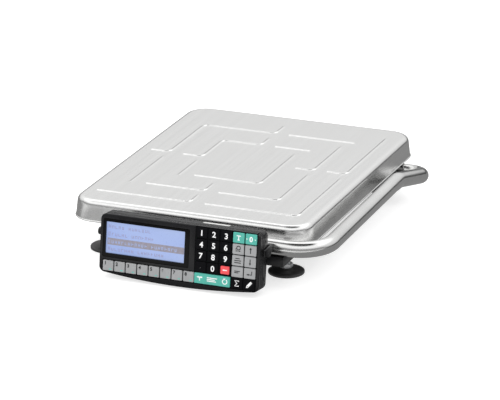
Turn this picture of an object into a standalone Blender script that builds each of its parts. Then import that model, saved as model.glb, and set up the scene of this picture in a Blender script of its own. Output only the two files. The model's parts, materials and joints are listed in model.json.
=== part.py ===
"""Portable retail goods scale: weighing platform, folding tube stand and tilting terminal.

Metres, +Z up, feet on z = 0, the front (terminal side) towards -Y.
Every sub-part is one named object. A moving piece has its parent empty on its joint's axis.
"""
import math

import bmesh
import bpy
from mathutils import Matrix, Vector

# ---- driving dimensions (metres, degrees) --------------------------------------------------
GAP = 0.0003                 # clearance between pieces that touch

PAN_LENGTH = 0.310           # along X, at the top
PAN_DEPTH = 0.400            # along Y, at the top
PAN_TOP = 0.071              # height of the weighing surface above the floor
PAN_SHEET = 0.001
PAN_SKIRT = 0.0262           # height of the skirt
PAN_CORNER = 0.029           # plan radius of the corners
PAN_EDGE = 0.0075            # radius between top and skirt
PAN_DRAFT = 0.0022           # the skirt spreads by this much
HEM_RADIUS = 0.0012
BEAD_WIDTH = 0.0085
BEAD_HEIGHT = 0.0018
BEAD_CORNER = 0.008          # centreline radius of a bead's bends

FRAME_BOTTOM = 0.0205
RAIL_TOP = 0.048
RAIL_X = 0.100               # middle of the two long rails
RAIL_WIDTH = 0.020
RAIL_LENGTH = 0.376
RAIL_WALL = 0.0025
CROSS_Y = 0.092
CROSS_WIDTH = 0.022
CROSS_TOP = 0.038
PLATE_THICKNESS = 0.005
PLATE_WIDTH = 0.090

CELL_LENGTH = 0.130
CELL_WIDTH = 0.030
CELL_HEIGHT = 0.022
CELL_BOTTOM = 0.0296
CELL_BOSS_Y = 0.047          # centre of each clamped end
CELL_BOSS = (0.030, 0.032)

LOAD_BOTTOM = 0.0562
LOAD_TOP = 0.0642
LOAD_RAIL_X = 0.110
LOAD_PAD_Y = 0.140
LOAD_PAD_TOP = 0.0696
LOAD_PAD_RADIUS = 0.009
LOAD_RAIL_WIDTH = 0.018
LOAD_CROSS_WIDTH = 0.022

FOOT_X = 0.118               # the feet stand under tabs beside the rails
FOOT_Y = 0.168
TAB_RADIUS = 0.010
TAB_THICKNESS = 0.004
FOOT_RADIUS = 0.0225
FOOT_BOSS_TOP = 0.0068
STUD_RADIUS = 0.005
STUD_TOP = 0.038
NUT_ACROSS_FLATS = 0.0145
NUT_HEIGHT = 0.0055

TUBE_RADIUS = 0.010
TUBE_BORE = 0.0085
STAND_FRONT_Y = -0.217
STAND_SIDE_X = 0.181
STAND_REAR_X = 0.191
STAND_HINGE_Y = 0.150
STAND_HINGE_Z = 0.0335
STAND_FREE_X = -0.092        # free end of the front run, behind the terminal
STAND_INNER_X = 0.016        # inner end of the hinge run, under the platform
STAND_CORNERS = (
    (STAND_FREE_X, STAND_FRONT_Y, 0.0520),
    (STAND_SIDE_X, STAND_FRONT_Y, 0.0496),
    (STAND_SIDE_X, 0.057, 0.0542),
    (STAND_REAR_X, STAND_HINGE_Y, STAND_HINGE_Z),
    (STAND_INNER_X, STAND_HINGE_Y, STAND_HINGE_Z),
)
STAND_RADII = (0.042, 0.045, 0.026)
LUG_TOP = 0.0397             # rest lug under the front run
LUG_THICKNESS = 0.012
LUG_RIGHT = 0.135
BUSH_RADIUS = 0.0115
WING = (0.1085, 0.164, 0.112, 0.156)    # hinge plate beside the right rail: X and Y limits
WING_THICKNESS = 0.0025
OUTER_BUSH_END = 0.150
HANGER_X = 0.028
HANGER_THICKNESS = 0.005

FACE_X = 0.0170              # centre of the terminal's face
FACE_Y = -0.264
FACE_Z = 0.0445
FACE_LEAN = 7.6              # degrees that the face leans back at rest
HOUSING_HALF = 0.1038
HOUSING_TOP = 0.0363         # above the face centre
HOUSING_SIDE_BOTTOM = -0.0365
HOUSING_BOW = 0.0058         # how much lower the middle of the bottom edge is
REAR_BOW = 0.0030
HOUSING_CORNER = 0.0075
HOUSING_DEPTH = 0.0265
FRONT_DEPTH = 0.0115
HOUSING_WALL = 0.0025
GROOVE = 0.0008
PIVOT_DEPTH = 0.014          # tilt axis behind the face
PIVOT_HEIGHT = 0.0107        # tilt axis above the face centre
EAR_HALF = 0.0042            # half height of the yoke's ears
KNOB_RADIUS = 0.0047
KNOB_REACH = 0.0052          # how far a tilt knob stands out from its ear

WINDOW = (-0.0995, 0.0125, -0.0170, 0.0300)    # left, right, bottom, top on the face
LCD_VIEW = (-0.0965, 0.0065, -0.0125, 0.0265)
KEY_PITCH_ROW = 0.01395
KEY_TOP_ROW = 0.0282
KEY_HEIGHT = 0.0129
KEY_PROUD = 0.0007
KEY_BACK = 0.0026
FUNCTION_PITCH = 0.01503
FUNCTION_FIRST = -0.0916
FUNCTION_WIDTH = 0.0137
NUMBER_COLUMNS = (0.0284, 0.0442, 0.0600)
NUMBER_WIDTH = 0.0144
COMMAND_COLUMNS = (0.0759, 0.0918)
COMMAND_WIDTH = 0.0146
DELETE_SIZE = (0.0113, 0.0100)
MENU_CENTRE_X = 0.0442
MENU_WIDTH = 0.0462
KEYPAD_AREA = (0.0205, 0.1000, -0.0348, 0.0355)
STRIP_AREA = (-0.0995, 0.0215, -0.0348, -0.0204)
INLET_X = 0.060
INLET_DEPTH = 0.019          # behind the face
INLET_END = -0.0388          # its mouth in the terminal's underside

# Bead centrelines on the platform, from its centre: each is a run of straight stretches.
BEAD_RUNS = (
    ((-0.136, 0.010), (-0.110, 0.010), (-0.110, 0.128), (-0.011, 0.128), (-0.011, 0.159)),
    ((-0.110, -0.119), (-0.110, -0.011)),
    ((-0.137, -0.159), (-0.012, -0.159), (-0.012, -0.132)),
    ((0.007, -0.159), (0.130, -0.159), (0.130, -0.011)),
    ((0.104, 0.010), (0.130, 0.010), (0.130, 0.159)),
    ((0.007, 0.128), (0.100, 0.128)),
    ((-0.091, 0.008), (-0.064, 0.008), (-0.064, 0.078), (-0.011, 0.078), (-0.011, 0.106)),
    ((-0.064, -0.072), (-0.064, -0.012)),
    ((-0.090, -0.114), (-0.011, -0.114), (-0.011, -0.085)),
    ((0.007, -0.114), (0.087, -0.114), (0.087, -0.012)),
    ((0.062, 0.008), (0.087, 0.008), (0.087, 0.107)),
    ((0.007, 0.078), (0.057, 0.078)),
    ((-0.046, -0.064), (0.043, -0.064), (0.043, 0.056)),
)

# ---- scene, materials and small helpers ----------------------------------------------------
for old in list(bpy.data.objects):
    bpy.data.objects.remove(old, do_unlink=True)

PARTS = bpy.data.collections.new("retail_goods_scale")
CUTTERS = bpy.data.collections.new("cutters")
bpy.context.scene.collection.children.link(PARTS)
bpy.context.scene.collection.children.link(CUTTERS)


def material(name, colour, roughness, metallic=0.0):
    made = bpy.data.materials.new(name)
    made.use_nodes = True
    shader = made.node_tree.nodes["Principled BSDF"]
    shader.inputs["Base Color"].default_value = (*colour, 1.0)
    shader.inputs["Roughness"].default_value = roughness
    shader.inputs["Metallic"].default_value = metallic
    return made


STAINLESS = material("stainless", (0.72, 0.72, 0.71), 0.35, 1.0)
POLISHED = material("polished_tube", (0.80, 0.80, 0.80), 0.12, 1.0)
ZINC = material("zinc", (0.62, 0.63, 0.64), 0.35, 1.0)
BLACK_STEEL = material("black_steel", (0.03, 0.03, 0.03), 0.5)
ALUMINIUM = material("aluminium", (0.75, 0.76, 0.77), 0.3, 1.0)
BLACK_PLASTIC = material("black_plastic", (0.025, 0.025, 0.027), 0.42)
FOOT_PLASTIC = material("foot_plastic", (0.03, 0.03, 0.03), 0.55)
WINDOW_CLEAR = material("window", (0.02, 0.02, 0.03), 0.05)
LCD_BLUE = material("lcd_blue", (0.50, 0.60, 0.95), 0.3)
BOARD_GREEN = material("board_green", (0.02, 0.20, 0.10), 0.5)
BATTERY_GREY = material("battery_grey", (0.30, 0.32, 0.35), 0.5)
OVERLAY_BLACK = material("overlay_black", (0.02, 0.02, 0.022), 0.45)
KEY_GREY = material("key_grey", (0.48, 0.49, 0.49), 0.5)
KEY_BLACK = material("key_black", (0.03, 0.03, 0.032), 0.5)
KEY_TEAL = material("key_teal", (0.09, 0.44, 0.37), 0.5)
KEY_RED = material("key_red", (0.85, 0.08, 0.09), 0.5)
LEVEL_AMBER = material("level_amber", (0.65, 0.75, 0.10), 0.1)
BUSH_NYLON = material("bush_nylon", (0.06, 0.06, 0.06), 0.5)


def add_object(name, mesh, surface=None, cutter=False):
    """Links a mesh as a part, or as a hidden cutter that the build leaves out."""
    made = bpy.data.objects.new(name, mesh)
    (CUTTERS if cutter else PARTS).objects.link(made)
    if surface:
        made.data.materials.append(surface)
    if cutter:
        made.hide_render = True
        made.display_type = 'WIRE'
    return made


def mesh_from(bm, name):
    mesh = bpy.data.meshes.new(name)
    bm.to_mesh(mesh)
    bm.free()
    return mesh


def smooth(obj, angle=35.0):
    obj.data.shade_smooth()
    obj.data.set_sharp_from_angle(angle=math.radians(angle))
    return obj


def box(name, low, high, surface=None, cutter=False, round_edges=0.0):
    """A box between two corners, with its edges rounded if asked."""
    low, high = Vector(low), Vector(high)
    bm = bmesh.new()
    bmesh.ops.create_cube(bm, size=1.0)
    size = high - low
    bmesh.ops.scale(bm, vec=size, verts=bm.verts)
    bmesh.ops.translate(bm, vec=(low + high) / 2, verts=bm.verts)
    if round_edges:
        bmesh.ops.bevel(bm, geom=bm.edges[:], offset=round_edges, segments=1, affect='EDGES')
    return add_object(name, mesh_from(bm, name), surface, cutter)


def cylinder(name, radius, start, end, surface=None, cutter=False, segments=24):
    """A cylinder between two points."""
    start, end = Vector(start), Vector(end)
    along = end - start
    bm = bmesh.new()
    bmesh.ops.create_cone(bm, cap_ends=True, segments=segments, radius1=radius, radius2=radius,
                          depth=along.length)
    turn = along.to_track_quat('Z', 'Y').to_matrix().to_4x4()
    bmesh.ops.transform(bm, matrix=Matrix.Translation((start + end) / 2) @ turn, verts=bm.verts)
    return smooth(add_object(name, mesh_from(bm, name), surface, cutter))


def turned(name, profile, surface, segments=24):
    """A solid turned about Z from (radius, height) points that run down its outer side."""
    bm = bmesh.new()
    corners = [bm.verts.new((radius, 0.0, height)) for radius, height in profile]
    for first, second in zip(corners, corners[1:]):
        bm.edges.new((first, second))
    made = add_object(name, mesh_from(bm, name), surface)
    screw = made.modifiers.new("turn", 'SCREW')
    screw.steps = screw.render_steps = segments
    screw.use_merge_vertices = True
    screw.merge_threshold = 0.00001
    return made


def boolean(obj, tools, operation, solver):
    for tool in tools:
        step = obj.modifiers.new(operation.lower(), 'BOOLEAN')
        step.operation = operation
        step.solver = solver
        step.object = tool


def cut(obj, *tools, solver='EXACT'):
    boolean(obj, tools, 'DIFFERENCE', solver)


def join(obj, *tools, solver='EXACT'):
    boolean(obj, tools, 'UNION', solver)


def curve_to_mesh(curve_object, cutter=False):
    """Replaces a curve object by a mesh object with its caps welded on."""
    graph = bpy.context.evaluated_depsgraph_get()
    mesh = bpy.data.meshes.new_from_object(curve_object.evaluated_get(graph))
    bm = bmesh.new()
    bm.from_mesh(mesh)
    bmesh.ops.remove_doubles(bm, verts=bm.verts, dist=0.00001)
    bmesh.ops.recalc_face_normals(bm, faces=bm.faces)
    bm.to_mesh(mesh)
    bm.free()
    name = curve_object.name
    place = curve_object.matrix_world.copy()
    bpy.data.objects.remove(curve_object, do_unlink=True)
    made = add_object(name, mesh, None, cutter)
    made.matrix_world = place
    return made


def rounded_route(corners, radii, steps=6):
    """Points along straight stretches whose inner corners are arcs of the given radii."""
    corners = [Vector(corner) for corner in corners]
    route = [corners[0]]
    for before, corner, after, radius in zip(corners, corners[1:], corners[2:], radii):
        back, ahead = (before - corner).normalized(), (after - corner).normalized()
        half = back.angle(ahead) / 2
        centre = corner + (back + ahead).normalized() * radius / math.sin(half)
        first = corner + back * radius / math.tan(half)
        last = corner + ahead * radius / math.tan(half)
        arm_a, arm_b = first - centre, last - centre
        sweep = arm_a.angle(arm_b)
        for step in range(steps + 1):
            part = step / steps
            arm = (arm_a * math.sin((1 - part) * sweep) + arm_b * math.sin(part * sweep))
            route.append(centre + arm / math.sin(sweep))
    route.append(corners[-1])
    return route


def tube(name, route, radius, surface=None, cutter=False, sides=4, taper=None, closed=False):
    """A round bar along a route. taper gives each point's share of the radius."""
    curve = bpy.data.curves.new(name, 'CURVE')
    curve.dimensions = '3D'
    curve.bevel_depth = radius
    curve.bevel_resolution = sides
    curve.use_fill_caps = not closed
    spline = curve.splines.new('POLY')
    spline.use_cyclic_u = closed
    spline.points.add(len(route) - 1)
    for index, (point, place) in enumerate(zip(spline.points, route)):
        point.co = (*place, 1.0)
        point.radius = taper[index] if taper else 1.0
    guide = bpy.data.objects.new(name, curve)
    CUTTERS.objects.link(guide)
    bpy.context.view_layer.update()
    made = curve_to_mesh(guide, cutter)
    if surface:
        made.data.materials.append(surface)
    return smooth(made)


def ring_points(half_x, half_y, radius, steps=6):
    """Corner arcs of a rounded rectangle, anticlockwise."""
    points = []
    for turn, (side_x, side_y) in enumerate(((1, 1), (-1, 1), (-1, -1), (1, -1))):
        for step in range(steps + 1):
            angle = math.radians(90.0 * (turn + step / steps))
            points.append((side_x * (half_x - radius) + radius * math.cos(angle),
                           side_y * (half_y - radius) + radius * math.sin(angle)))
    return points


def prism(name, outline, near, far, surface=None, cutter=False):
    """A flat outline in X and Z, as a solid between two depths along Y."""
    curve = bpy.data.curves.new(name, 'CURVE')
    curve.dimensions = '2D'
    curve.fill_mode = 'BOTH'
    curve.extrude = (far - near) / 2
    spline = curve.splines.new('POLY')
    spline.points.add(len(outline) - 1)
    for point, (across, up) in zip(spline.points, outline):
        point.co = (across, up, 0.0, 1.0)
    spline.use_cyclic_u = True
    guide = bpy.data.objects.new(name, curve)
    CUTTERS.objects.link(guide)
    bpy.context.view_layer.update()
    made = curve_to_mesh(guide, cutter)
    stand_up = Matrix.Translation((0.0, (near + far) / 2, 0.0)) @ Matrix.Rotation(math.radians(90), 4, 'X')
    made.data.transform(stand_up)
    if surface:
        made.data.materials.append(surface)
    return made


def empty(name, place, rotation=(0.0, 0.0, 0.0), parent=None):
    """A joint's empty. Its children's places are measured from it."""
    made = bpy.data.objects.new(name, None)
    PARTS.objects.link(made)
    made.location = place
    made.rotation_euler = rotation
    made.parent = parent
    return made


def hang(parent, *objects):
    """Parents pieces, and the tools that cut and join them, to a joint's empty."""
    for obj in objects:
        obj.parent = parent
        hang(parent, *(step.object for step in obj.modifiers if step.type == 'BOOLEAN'))


def shift_tools(obj, offset):
    """Moves a piece's mesh, and its tools' meshes, so that its joint's empty is the origin."""
    obj.data.transform(Matrix.Translation(offset))
    for step in obj.modifiers:
        if step.type == 'BOOLEAN':
            shift_tools(step.object, offset)


# ---- weighing platform ---------------------------------------------------------------------
def platform_pan():
    """Pressed sheet pan: flat top, rounded edge, drafted skirt with a rolled hem, raised beads."""
    bm = bmesh.new()
    bmesh.ops.create_cube(bm, size=1.0)
    bmesh.ops.scale(bm, vec=(PAN_LENGTH, PAN_DEPTH, PAN_SKIRT), verts=bm.verts)
    bmesh.ops.translate(bm, vec=(0, 0, -PAN_SKIRT / 2), verts=bm.verts)
    upright = [edge for edge in bm.edges if abs(edge.verts[0].co.z - edge.verts[1].co.z) > PAN_SHEET]
    bmesh.ops.bevel(bm, geom=upright, offset=PAN_CORNER, segments=6, profile=0.5, affect='EDGES')
    rim = [edge for edge in bm.edges if all(vert.co.z > -PAN_SHEET for vert in edge.verts)]
    bmesh.ops.bevel(bm, geom=rim, offset=PAN_EDGE, segments=3, profile=0.5, affect='EDGES')
    for vert in bm.verts:
        if vert.co.z < -PAN_SKIRT + PAN_SHEET:
            vert.co.x *= 1 + 2 * PAN_DRAFT / PAN_LENGTH
            vert.co.y *= 1 + 2 * PAN_DRAFT / PAN_DEPTH
    underside = [face for face in bm.faces if face.normal.z < -0.9]
    bmesh.ops.delete(bm, geom=underside, context='FACES_ONLY')
    pan = add_object("platform_pan", mesh_from(bm, "platform_pan"), STAINLESS)
    shell = pan.modifiers.new("sheet", 'SOLIDIFY')
    shell.thickness = PAN_SHEET
    shell.offset = -1.0

    half_x, half_y = PAN_LENGTH / 2 + PAN_DRAFT, PAN_DEPTH / 2 + PAN_DRAFT
    ring = ring_points(half_x, half_y, PAN_CORNER + PAN_DRAFT)
    route = [Vector((x, y, -PAN_SKIRT + HEM_RADIUS / 2)) for x, y in ring]
    join(pan, tube("hem_tool", route, HEM_RADIUS, cutter=True, sides=1, closed=True), solver='MANIFOLD')

    end_shape = ((0.0, 0.40), (0.0015, 0.80), (0.0045, 1.0))
    for index, run in enumerate(BEAD_RUNS):
        corners = [(x, y, 0.0) for x, y in run]
        route = rounded_route(corners, [BEAD_CORNER] * (len(corners) - 2), steps=3)
        start, end = route.pop(0), route.pop()
        ahead = ((route[0] if route else end) - start).normalized()
        behind = ((route[-1] if route else start) - end).normalized()
        first = [start + ahead * distance for distance, _ in end_shape]
        last = [end + behind * distance for distance, _ in reversed(end_shape)]
        taper = [share for _, share in end_shape]
        bead = tube(f"bead_tool_{index}", first + route + last, BEAD_WIDTH / 2, cutter=True, sides=2,
                    taper=taper + [1.0] * len(route) + taper[::-1])
        for vert in bead.data.vertices:
            vert.co.z = max(vert.co.z * 2 * BEAD_HEIGHT / BEAD_WIDTH, -PAN_SHEET / 2)
        join(pan, bead, solver='MANIFOLD')
    hang(PAN_SEAT, pan)


def load_frame():
    """H-shaped upper frame that carries the pan on four corner pads and sits on the cell."""
    frame = box("load_frame", (-PLATE_WIDTH / 2, -CROSS_Y, LOAD_BOTTOM),
                (PLATE_WIDTH / 2, CROSS_Y, LOAD_BOTTOM + PLATE_THICKNESS), BLACK_STEEL)
    half_rail, half_cross, rail_end = LOAD_RAIL_WIDTH / 2, LOAD_CROSS_WIDTH / 2, LOAD_PAD_Y + 0.014
    for side in (-1, 1):
        rail = box("load_rail_tool", (side * LOAD_RAIL_X - half_rail, -rail_end, LOAD_BOTTOM),
                   (side * LOAD_RAIL_X + half_rail, rail_end, LOAD_TOP), cutter=True)
        cross = box("load_cross_tool", (-LOAD_RAIL_X, side * CROSS_Y - half_cross, LOAD_BOTTOM),
                    (LOAD_RAIL_X, side * CROSS_Y + half_cross, LOAD_TOP), cutter=True)
        join(frame, rail, cross)
        for end in (-1, 1):
            foot = (side * LOAD_RAIL_X, end * LOAD_PAD_Y, LOAD_TOP - 0.001)
            pad = cylinder("load_pad_tool", LOAD_PAD_RADIUS, foot,
                           (foot[0], foot[1], LOAD_PAD_TOP), cutter=True, segments=24)
            join(frame, pad)
    boss_x, boss_y = CELL_BOSS[0] / 2, CELL_BOSS[1] / 2
    boss = box("load_boss_tool", (-boss_x, CELL_BOSS_Y - boss_y, CELL_BOTTOM + CELL_HEIGHT + GAP),
               (boss_x, CELL_BOSS_Y + boss_y, LOAD_BOTTOM + 0.001), cutter=True)
    join(frame, boss)
    hang(WEIGH, frame)


def load_cell():
    """Single-point beam cell with the two joined bores that make its parallel springs."""
    cell = box("load_cell", (-CELL_WIDTH / 2, -CELL_LENGTH / 2, CELL_BOTTOM),
               (CELL_WIDTH / 2, CELL_LENGTH / 2, CELL_BOTTOM + CELL_HEIGHT), ALUMINIUM, round_edges=0.0006)
    middle = CELL_BOTTOM + CELL_HEIGHT / 2
    bore = 0.0088
    spread = 0.016
    for side in (-1, 1):
        cut(cell, cylinder("cell_bore_tool", bore, (-CELL_WIDTH, side * spread, middle),
                           (CELL_WIDTH, side * spread, middle), cutter=True, segments=24))
    cut(cell, box("cell_slot_tool", (-CELL_WIDTH, -spread, middle - 0.003),
                  (CELL_WIDTH, spread, middle + 0.003), cutter=True))


# ---- base -----------------------------------------------------------------------------------
def foot_tab(frame, x, y, rail_x):
    """A welded tab beside a rail, with a round end and the hole for a foot's stud."""
    top = FRAME_BOTTOM + TAB_THICKNESS
    plate = box("tab_tool", (min(x, rail_x), y - TAB_RADIUS, FRAME_BOTTOM),
                (max(x, rail_x), y + TAB_RADIUS, top), cutter=True)
    end = cylinder("tab_end_tool", TAB_RADIUS, (x, y, FRAME_BOTTOM), (x, y, top), cutter=True)
    join(plate, end)
    join(frame, plate)
    hole = cylinder("stud_hole_tool", STUD_RADIUS + GAP, (x, y, 0), (x, y, 2 * FRAME_BOTTOM), cutter=True)
    cut(frame, hole)


def base_frame():
    """Two box-section rails and two cross members, a cell plate, stand bearings and a rest lug."""
    frame = box("base_frame", (-PLATE_WIDTH / 2, -CROSS_Y, FRAME_BOTTOM),
                (PLATE_WIDTH / 2, CROSS_Y, FRAME_BOTTOM + PLATE_THICKNESS), BLACK_STEEL)
    half_rail = RAIL_WIDTH / 2
    for side in (-1, 1):
        cross = box("cross_tool", (-RAIL_X, side * CROSS_Y - CROSS_WIDTH / 2, FRAME_BOTTOM),
                    (RAIL_X, side * CROSS_Y + CROSS_WIDTH / 2, CROSS_TOP), cutter=True)
        rail = box("rail_tool", (side * RAIL_X - half_rail, -RAIL_LENGTH / 2, FRAME_BOTTOM),
                   (side * RAIL_X + half_rail, RAIL_LENGTH / 2, RAIL_TOP), cutter=True)
        join(frame, cross, rail)
    boss_x, boss_y = CELL_BOSS[0] / 2, CELL_BOSS[1] / 2
    boss = box("base_boss_tool", (-boss_x, -CELL_BOSS_Y - boss_y, FRAME_BOTTOM + 0.001),
               (boss_x, -CELL_BOSS_Y + boss_y, CELL_BOTTOM - GAP), cutter=True)
    lug = box("rest_lug_tool", (RAIL_X - half_rail, STAND_FRONT_Y - 0.006, LUG_TOP - LUG_THICKNESS),
              (LUG_RIGHT, -RAIL_LENGTH / 2 + 0.004, LUG_TOP), cutter=True)
    hanger = box("hanger_tool", (HANGER_X - HANGER_THICKNESS / 2, CROSS_Y, FRAME_BOTTOM),
                 (HANGER_X + HANGER_THICKNESS / 2, STAND_HINGE_Y + 0.018, RAIL_TOP), cutter=True)
    join(frame, boss, hanger)
    for side in (-1, 1):
        half_hollow = half_rail - RAIL_WALL
        middle = side * RAIL_X
        hollow = box("rail_hollow_tool", (middle - half_hollow, -RAIL_LENGTH, FRAME_BOTTOM + RAIL_WALL),
                     (middle + half_hollow, RAIL_LENGTH, RAIL_TOP - RAIL_WALL), cutter=True)
        cut(frame, hollow)
        for end in (-1, 1):
            foot_tab(frame, side * FOOT_X, end * FOOT_Y, side * (RAIL_X + half_rail - RAIL_WALL / 2))
    wing = box("wing_tool", (WING[0], WING[2], FRAME_BOTTOM),
               (WING[1], WING[3], FRAME_BOTTOM + WING_THICKNESS), cutter=True)
    join(frame, lug, wing)
    for near, far in ((HANGER_X - 0.01, HANGER_X + 0.01), (RAIL_X - RAIL_WIDTH, OUTER_BUSH_END + GAP)):
        cut(frame, cylinder("bush_hole_tool", BUSH_RADIUS + GAP, (near, STAND_HINGE_Y, STAND_HINGE_Z),
                            (far, STAND_HINGE_Y, STAND_HINGE_Z), cutter=True))


def stand_bushing(name, near, far):
    """Nylon sleeve that carries the stand's hinge run."""
    def on_axis(x):
        return (x, STAND_HINGE_Y, STAND_HINGE_Z)
    bush = cylinder(name, BUSH_RADIUS, on_axis(near), on_axis(far), BUSH_NYLON)
    cut(bush, cylinder("sleeve_tool", TUBE_RADIUS + GAP, on_axis(near - 0.01), on_axis(far + 0.01),
                       cutter=True))


def foot(name, x, y):
    """Levelling foot: a domed pad that turns, on a threaded stud with its lock nut."""
    travel = empty(f"foot_travel_{name}", (x, y, 0.0))
    pad = turned(f"foot_pad_{name}", (
        (0.0, 0.0030), (STUD_RADIUS + GAP, 0.0030), (STUD_RADIUS + GAP, FOOT_BOSS_TOP),
        (0.0085, FOOT_BOSS_TOP), (0.0170, 0.0056), (FOOT_RADIUS - 0.0012, 0.0042), (FOOT_RADIUS, 0.0030),
        (FOOT_RADIUS, 0.0), (0.0, 0.0)),
        FOOT_PLASTIC)
    smooth(pad, 50)
    stud = cylinder(f"foot_stud_{name}", STUD_RADIUS, (0, 0, 0.0030 + GAP), (0, 0, STUD_TOP), ZINC,
                    segments=24)
    corner_radius = NUT_ACROSS_FLATS / 2 / math.cos(math.radians(30))
    nut_bottom = FOOT_BOSS_TOP + GAP
    join(stud, cylinder("nut_tool", corner_radius, (0, 0, nut_bottom), (0, 0, nut_bottom + NUT_HEIGHT),
                        cutter=True, segments=6))
    hang(travel, pad, stud)


def bubble_level():
    """Round spirit level on the left rail, read with the pan lifted off."""
    x, y = -RAIL_X, FOOT_Y
    bottom = RAIL_TOP + GAP
    cylinder("bubble_level", 0.0085, (x, y, bottom), (x, y, bottom + 0.006), LEVEL_AMBER, segments=28)


# ---- folding stand -------------------------------------------------------------------------
def stand():
    """One bent tube: front run, right side run, a step down, and the hinge run under the pan."""
    def from_hinge(point):
        return Vector(point) - Vector((0.0, STAND_HINGE_Y, STAND_HINGE_Z))
    route = rounded_route([from_hinge(corner) for corner in STAND_CORNERS], STAND_RADII)
    bar = tube("stand_tube", route, TUBE_RADIUS, POLISHED, sides=4)
    before, after = (route[0] - route[1]).normalized(), (route[-1] - route[-2]).normalized()
    inner = [route[0] + before * 0.001, *route[1:-1], route[-1] + after * 0.001]
    cut(bar, tube("stand_bore_tool", inner, TUBE_BORE, cutter=True, sides=4))
    end = route[0]
    plug = cylinder("stand_end_plug", TUBE_RADIUS, end + before * GAP, end + before * 0.0035, BLACK_PLASTIC)
    join(plug, cylinder("plug_stub_tool", TUBE_BORE - GAP, end - before * 0.012, end + before * 0.002,
                        cutter=True))
    hang(STAND_HINGE, bar, plug)


def terminal_bracket():
    """Sheet yoke fixed to the front of the tube, with an ear at each end of the terminal."""
    back_far = STAND_FRONT_Y - TUBE_RADIUS - GAP
    sheet = 0.0018
    side_gap = 0.0006
    left, right = FACE_X - HOUSING_HALF - side_gap, FACE_X + HOUSING_HALF + side_gap
    low, high = PIVOT_Z - 0.0036, PIVOT_Z + 0.0034
    yoke = box("terminal_bracket", (left - sheet, back_far - sheet, low), (right + sheet, back_far, high),
               BLACK_STEEL)
    for outer, inner in ((left - sheet, left), (right, right + sheet)):
        ear = box("ear_tool", (outer, PIVOT_Y - EAR_HALF, PIVOT_Z - EAR_HALF),
                  (inner, back_far, PIVOT_Z + EAR_HALF), cutter=True)
        join(yoke, ear)
    cut(yoke, cylinder("ear_hole_tool", 0.0028, (left - 0.01, PIVOT_Y, PIVOT_Z),
                       (right + 0.01, PIVOT_Y, PIVOT_Z), cutter=True, segments=20))
    shift_tools(yoke, (0.0, -STAND_HINGE_Y, -STAND_HINGE_Z))
    hang(STAND_HINGE, yoke)


def tilt_knob(name, side):
    """Knurled knob outside an ear. Its screw runs through the ear into the housing's side."""
    ear_outside = HOUSING_HALF + 0.0006 + 0.0018
    holder = empty(f"{name}_turn", (FACE_X, PIVOT_Y - STAND_HINGE_Y, PIVOT_Z - STAND_HINGE_Z),
                   parent=STAND_HINGE)
    knob = cylinder(name, KNOB_RADIUS, (side * (ear_outside + GAP), 0, 0),
                    (side * (ear_outside + KNOB_REACH), 0, 0), BLACK_PLASTIC, segments=20)
    join(knob, cylinder("knob_screw_tool", 0.0024, (side * (HOUSING_HALF - 0.005), 0, 0),
                        (side * (ear_outside + 0.002), 0, 0), cutter=True, segments=16))
    hang(holder, knob)


# ---- terminal, modelled upright around its tilt axis ---------------------------------------
def housing_outline(inset, bow=HOUSING_BOW):
    """The terminal's outline in X and Z: round corners, straight top, bottom bowed downwards."""
    half = HOUSING_HALF - inset
    top = HOUSING_TOP - inset
    side_bottom = HOUSING_SIDE_BOTTOM + inset
    radius = HOUSING_CORNER - inset
    points = []
    for turn, (side, level) in enumerate(((1, top - radius), (-1, top - radius))):
        for step in range(5):
            angle = math.radians(90.0 * (turn + step / 4))
            points.append((side * (half - radius) + radius * math.cos(angle),
                           level + radius * math.sin(angle)))
    bow_half = half - radius
    for turn, side in ((2, -1), (3, 1)):
        for step in range(5):
            angle = math.radians(90.0 * (turn + step / 4))
            points.append((side * bow_half + radius * math.cos(angle),
                           side_bottom + radius + radius * math.sin(angle)))
        if side < 0:
            for step in range(1, 10):
                across = -bow_half + 2 * bow_half * step / 10
                points.append((across, side_bottom - bow * (1 - (across / bow_half) ** 2)))
    return points


def on_face(obj):
    """Hangs a piece modelled in face coordinates on the tilt axis's empty."""
    shift_tools(obj, (0.0, -PIVOT_DEPTH, -PIVOT_HEIGHT))
    hang(TERMINAL_TILT, obj)


def area_box(name, area, near, far, surface=None, cutter=False, grow=0.0, round_edges=0.0):
    """A box over a left, right, bottom, top area of the face, between two depths."""
    left, right, bottom, top = area
    return box(name, (left - grow, near, bottom - grow), (right + grow, far, top + grow), surface, cutter,
               round_edges)


def key_layout():
    """Name, centre across, centre up, width, height and material of every key."""
    rows = [KEY_TOP_ROW - KEY_PITCH_ROW * row for row in range(5)]
    keys = [(f"function_key_{index + 1}", FUNCTION_FIRST + FUNCTION_PITCH * index, rows[4], FUNCTION_WIDTH,
             KEY_HEIGHT, KEY_GREY) for index in range(8)]
    numbers = ("1", "2", "3", "4", "5", "6", "7", "8", "9", "point", "0")
    for index, label in enumerate(numbers):
        keys.append((f"number_key_{label}", NUMBER_COLUMNS[index % 3], rows[index // 3], NUMBER_WIDTH,
                     KEY_HEIGHT, KEY_BLACK))
    keys.append(("delete_key", NUMBER_COLUMNS[2], rows[3], *DELETE_SIZE, KEY_RED))
    commands = (("tare", KEY_TEAL), ("zero", KEY_TEAL), ("stack", KEY_GREY), ("up", KEY_GREY),
                ("net_gross", KEY_GREY), ("down", KEY_GREY), ("lookup", KEY_GREY), ("enter", KEY_GREY),
                ("total", KEY_BLACK), ("edit", KEY_BLACK))
    for index, (label, surface) in enumerate(commands):
        keys.append((f"{label}_key", COMMAND_COLUMNS[index % 2], rows[index // 2], COMMAND_WIDTH,
                     KEY_HEIGHT, surface))
    keys.append(("menu_key", MENU_CENTRE_X, rows[4], MENU_WIDTH, KEY_HEIGHT, KEY_TEAL))
    return keys


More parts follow.
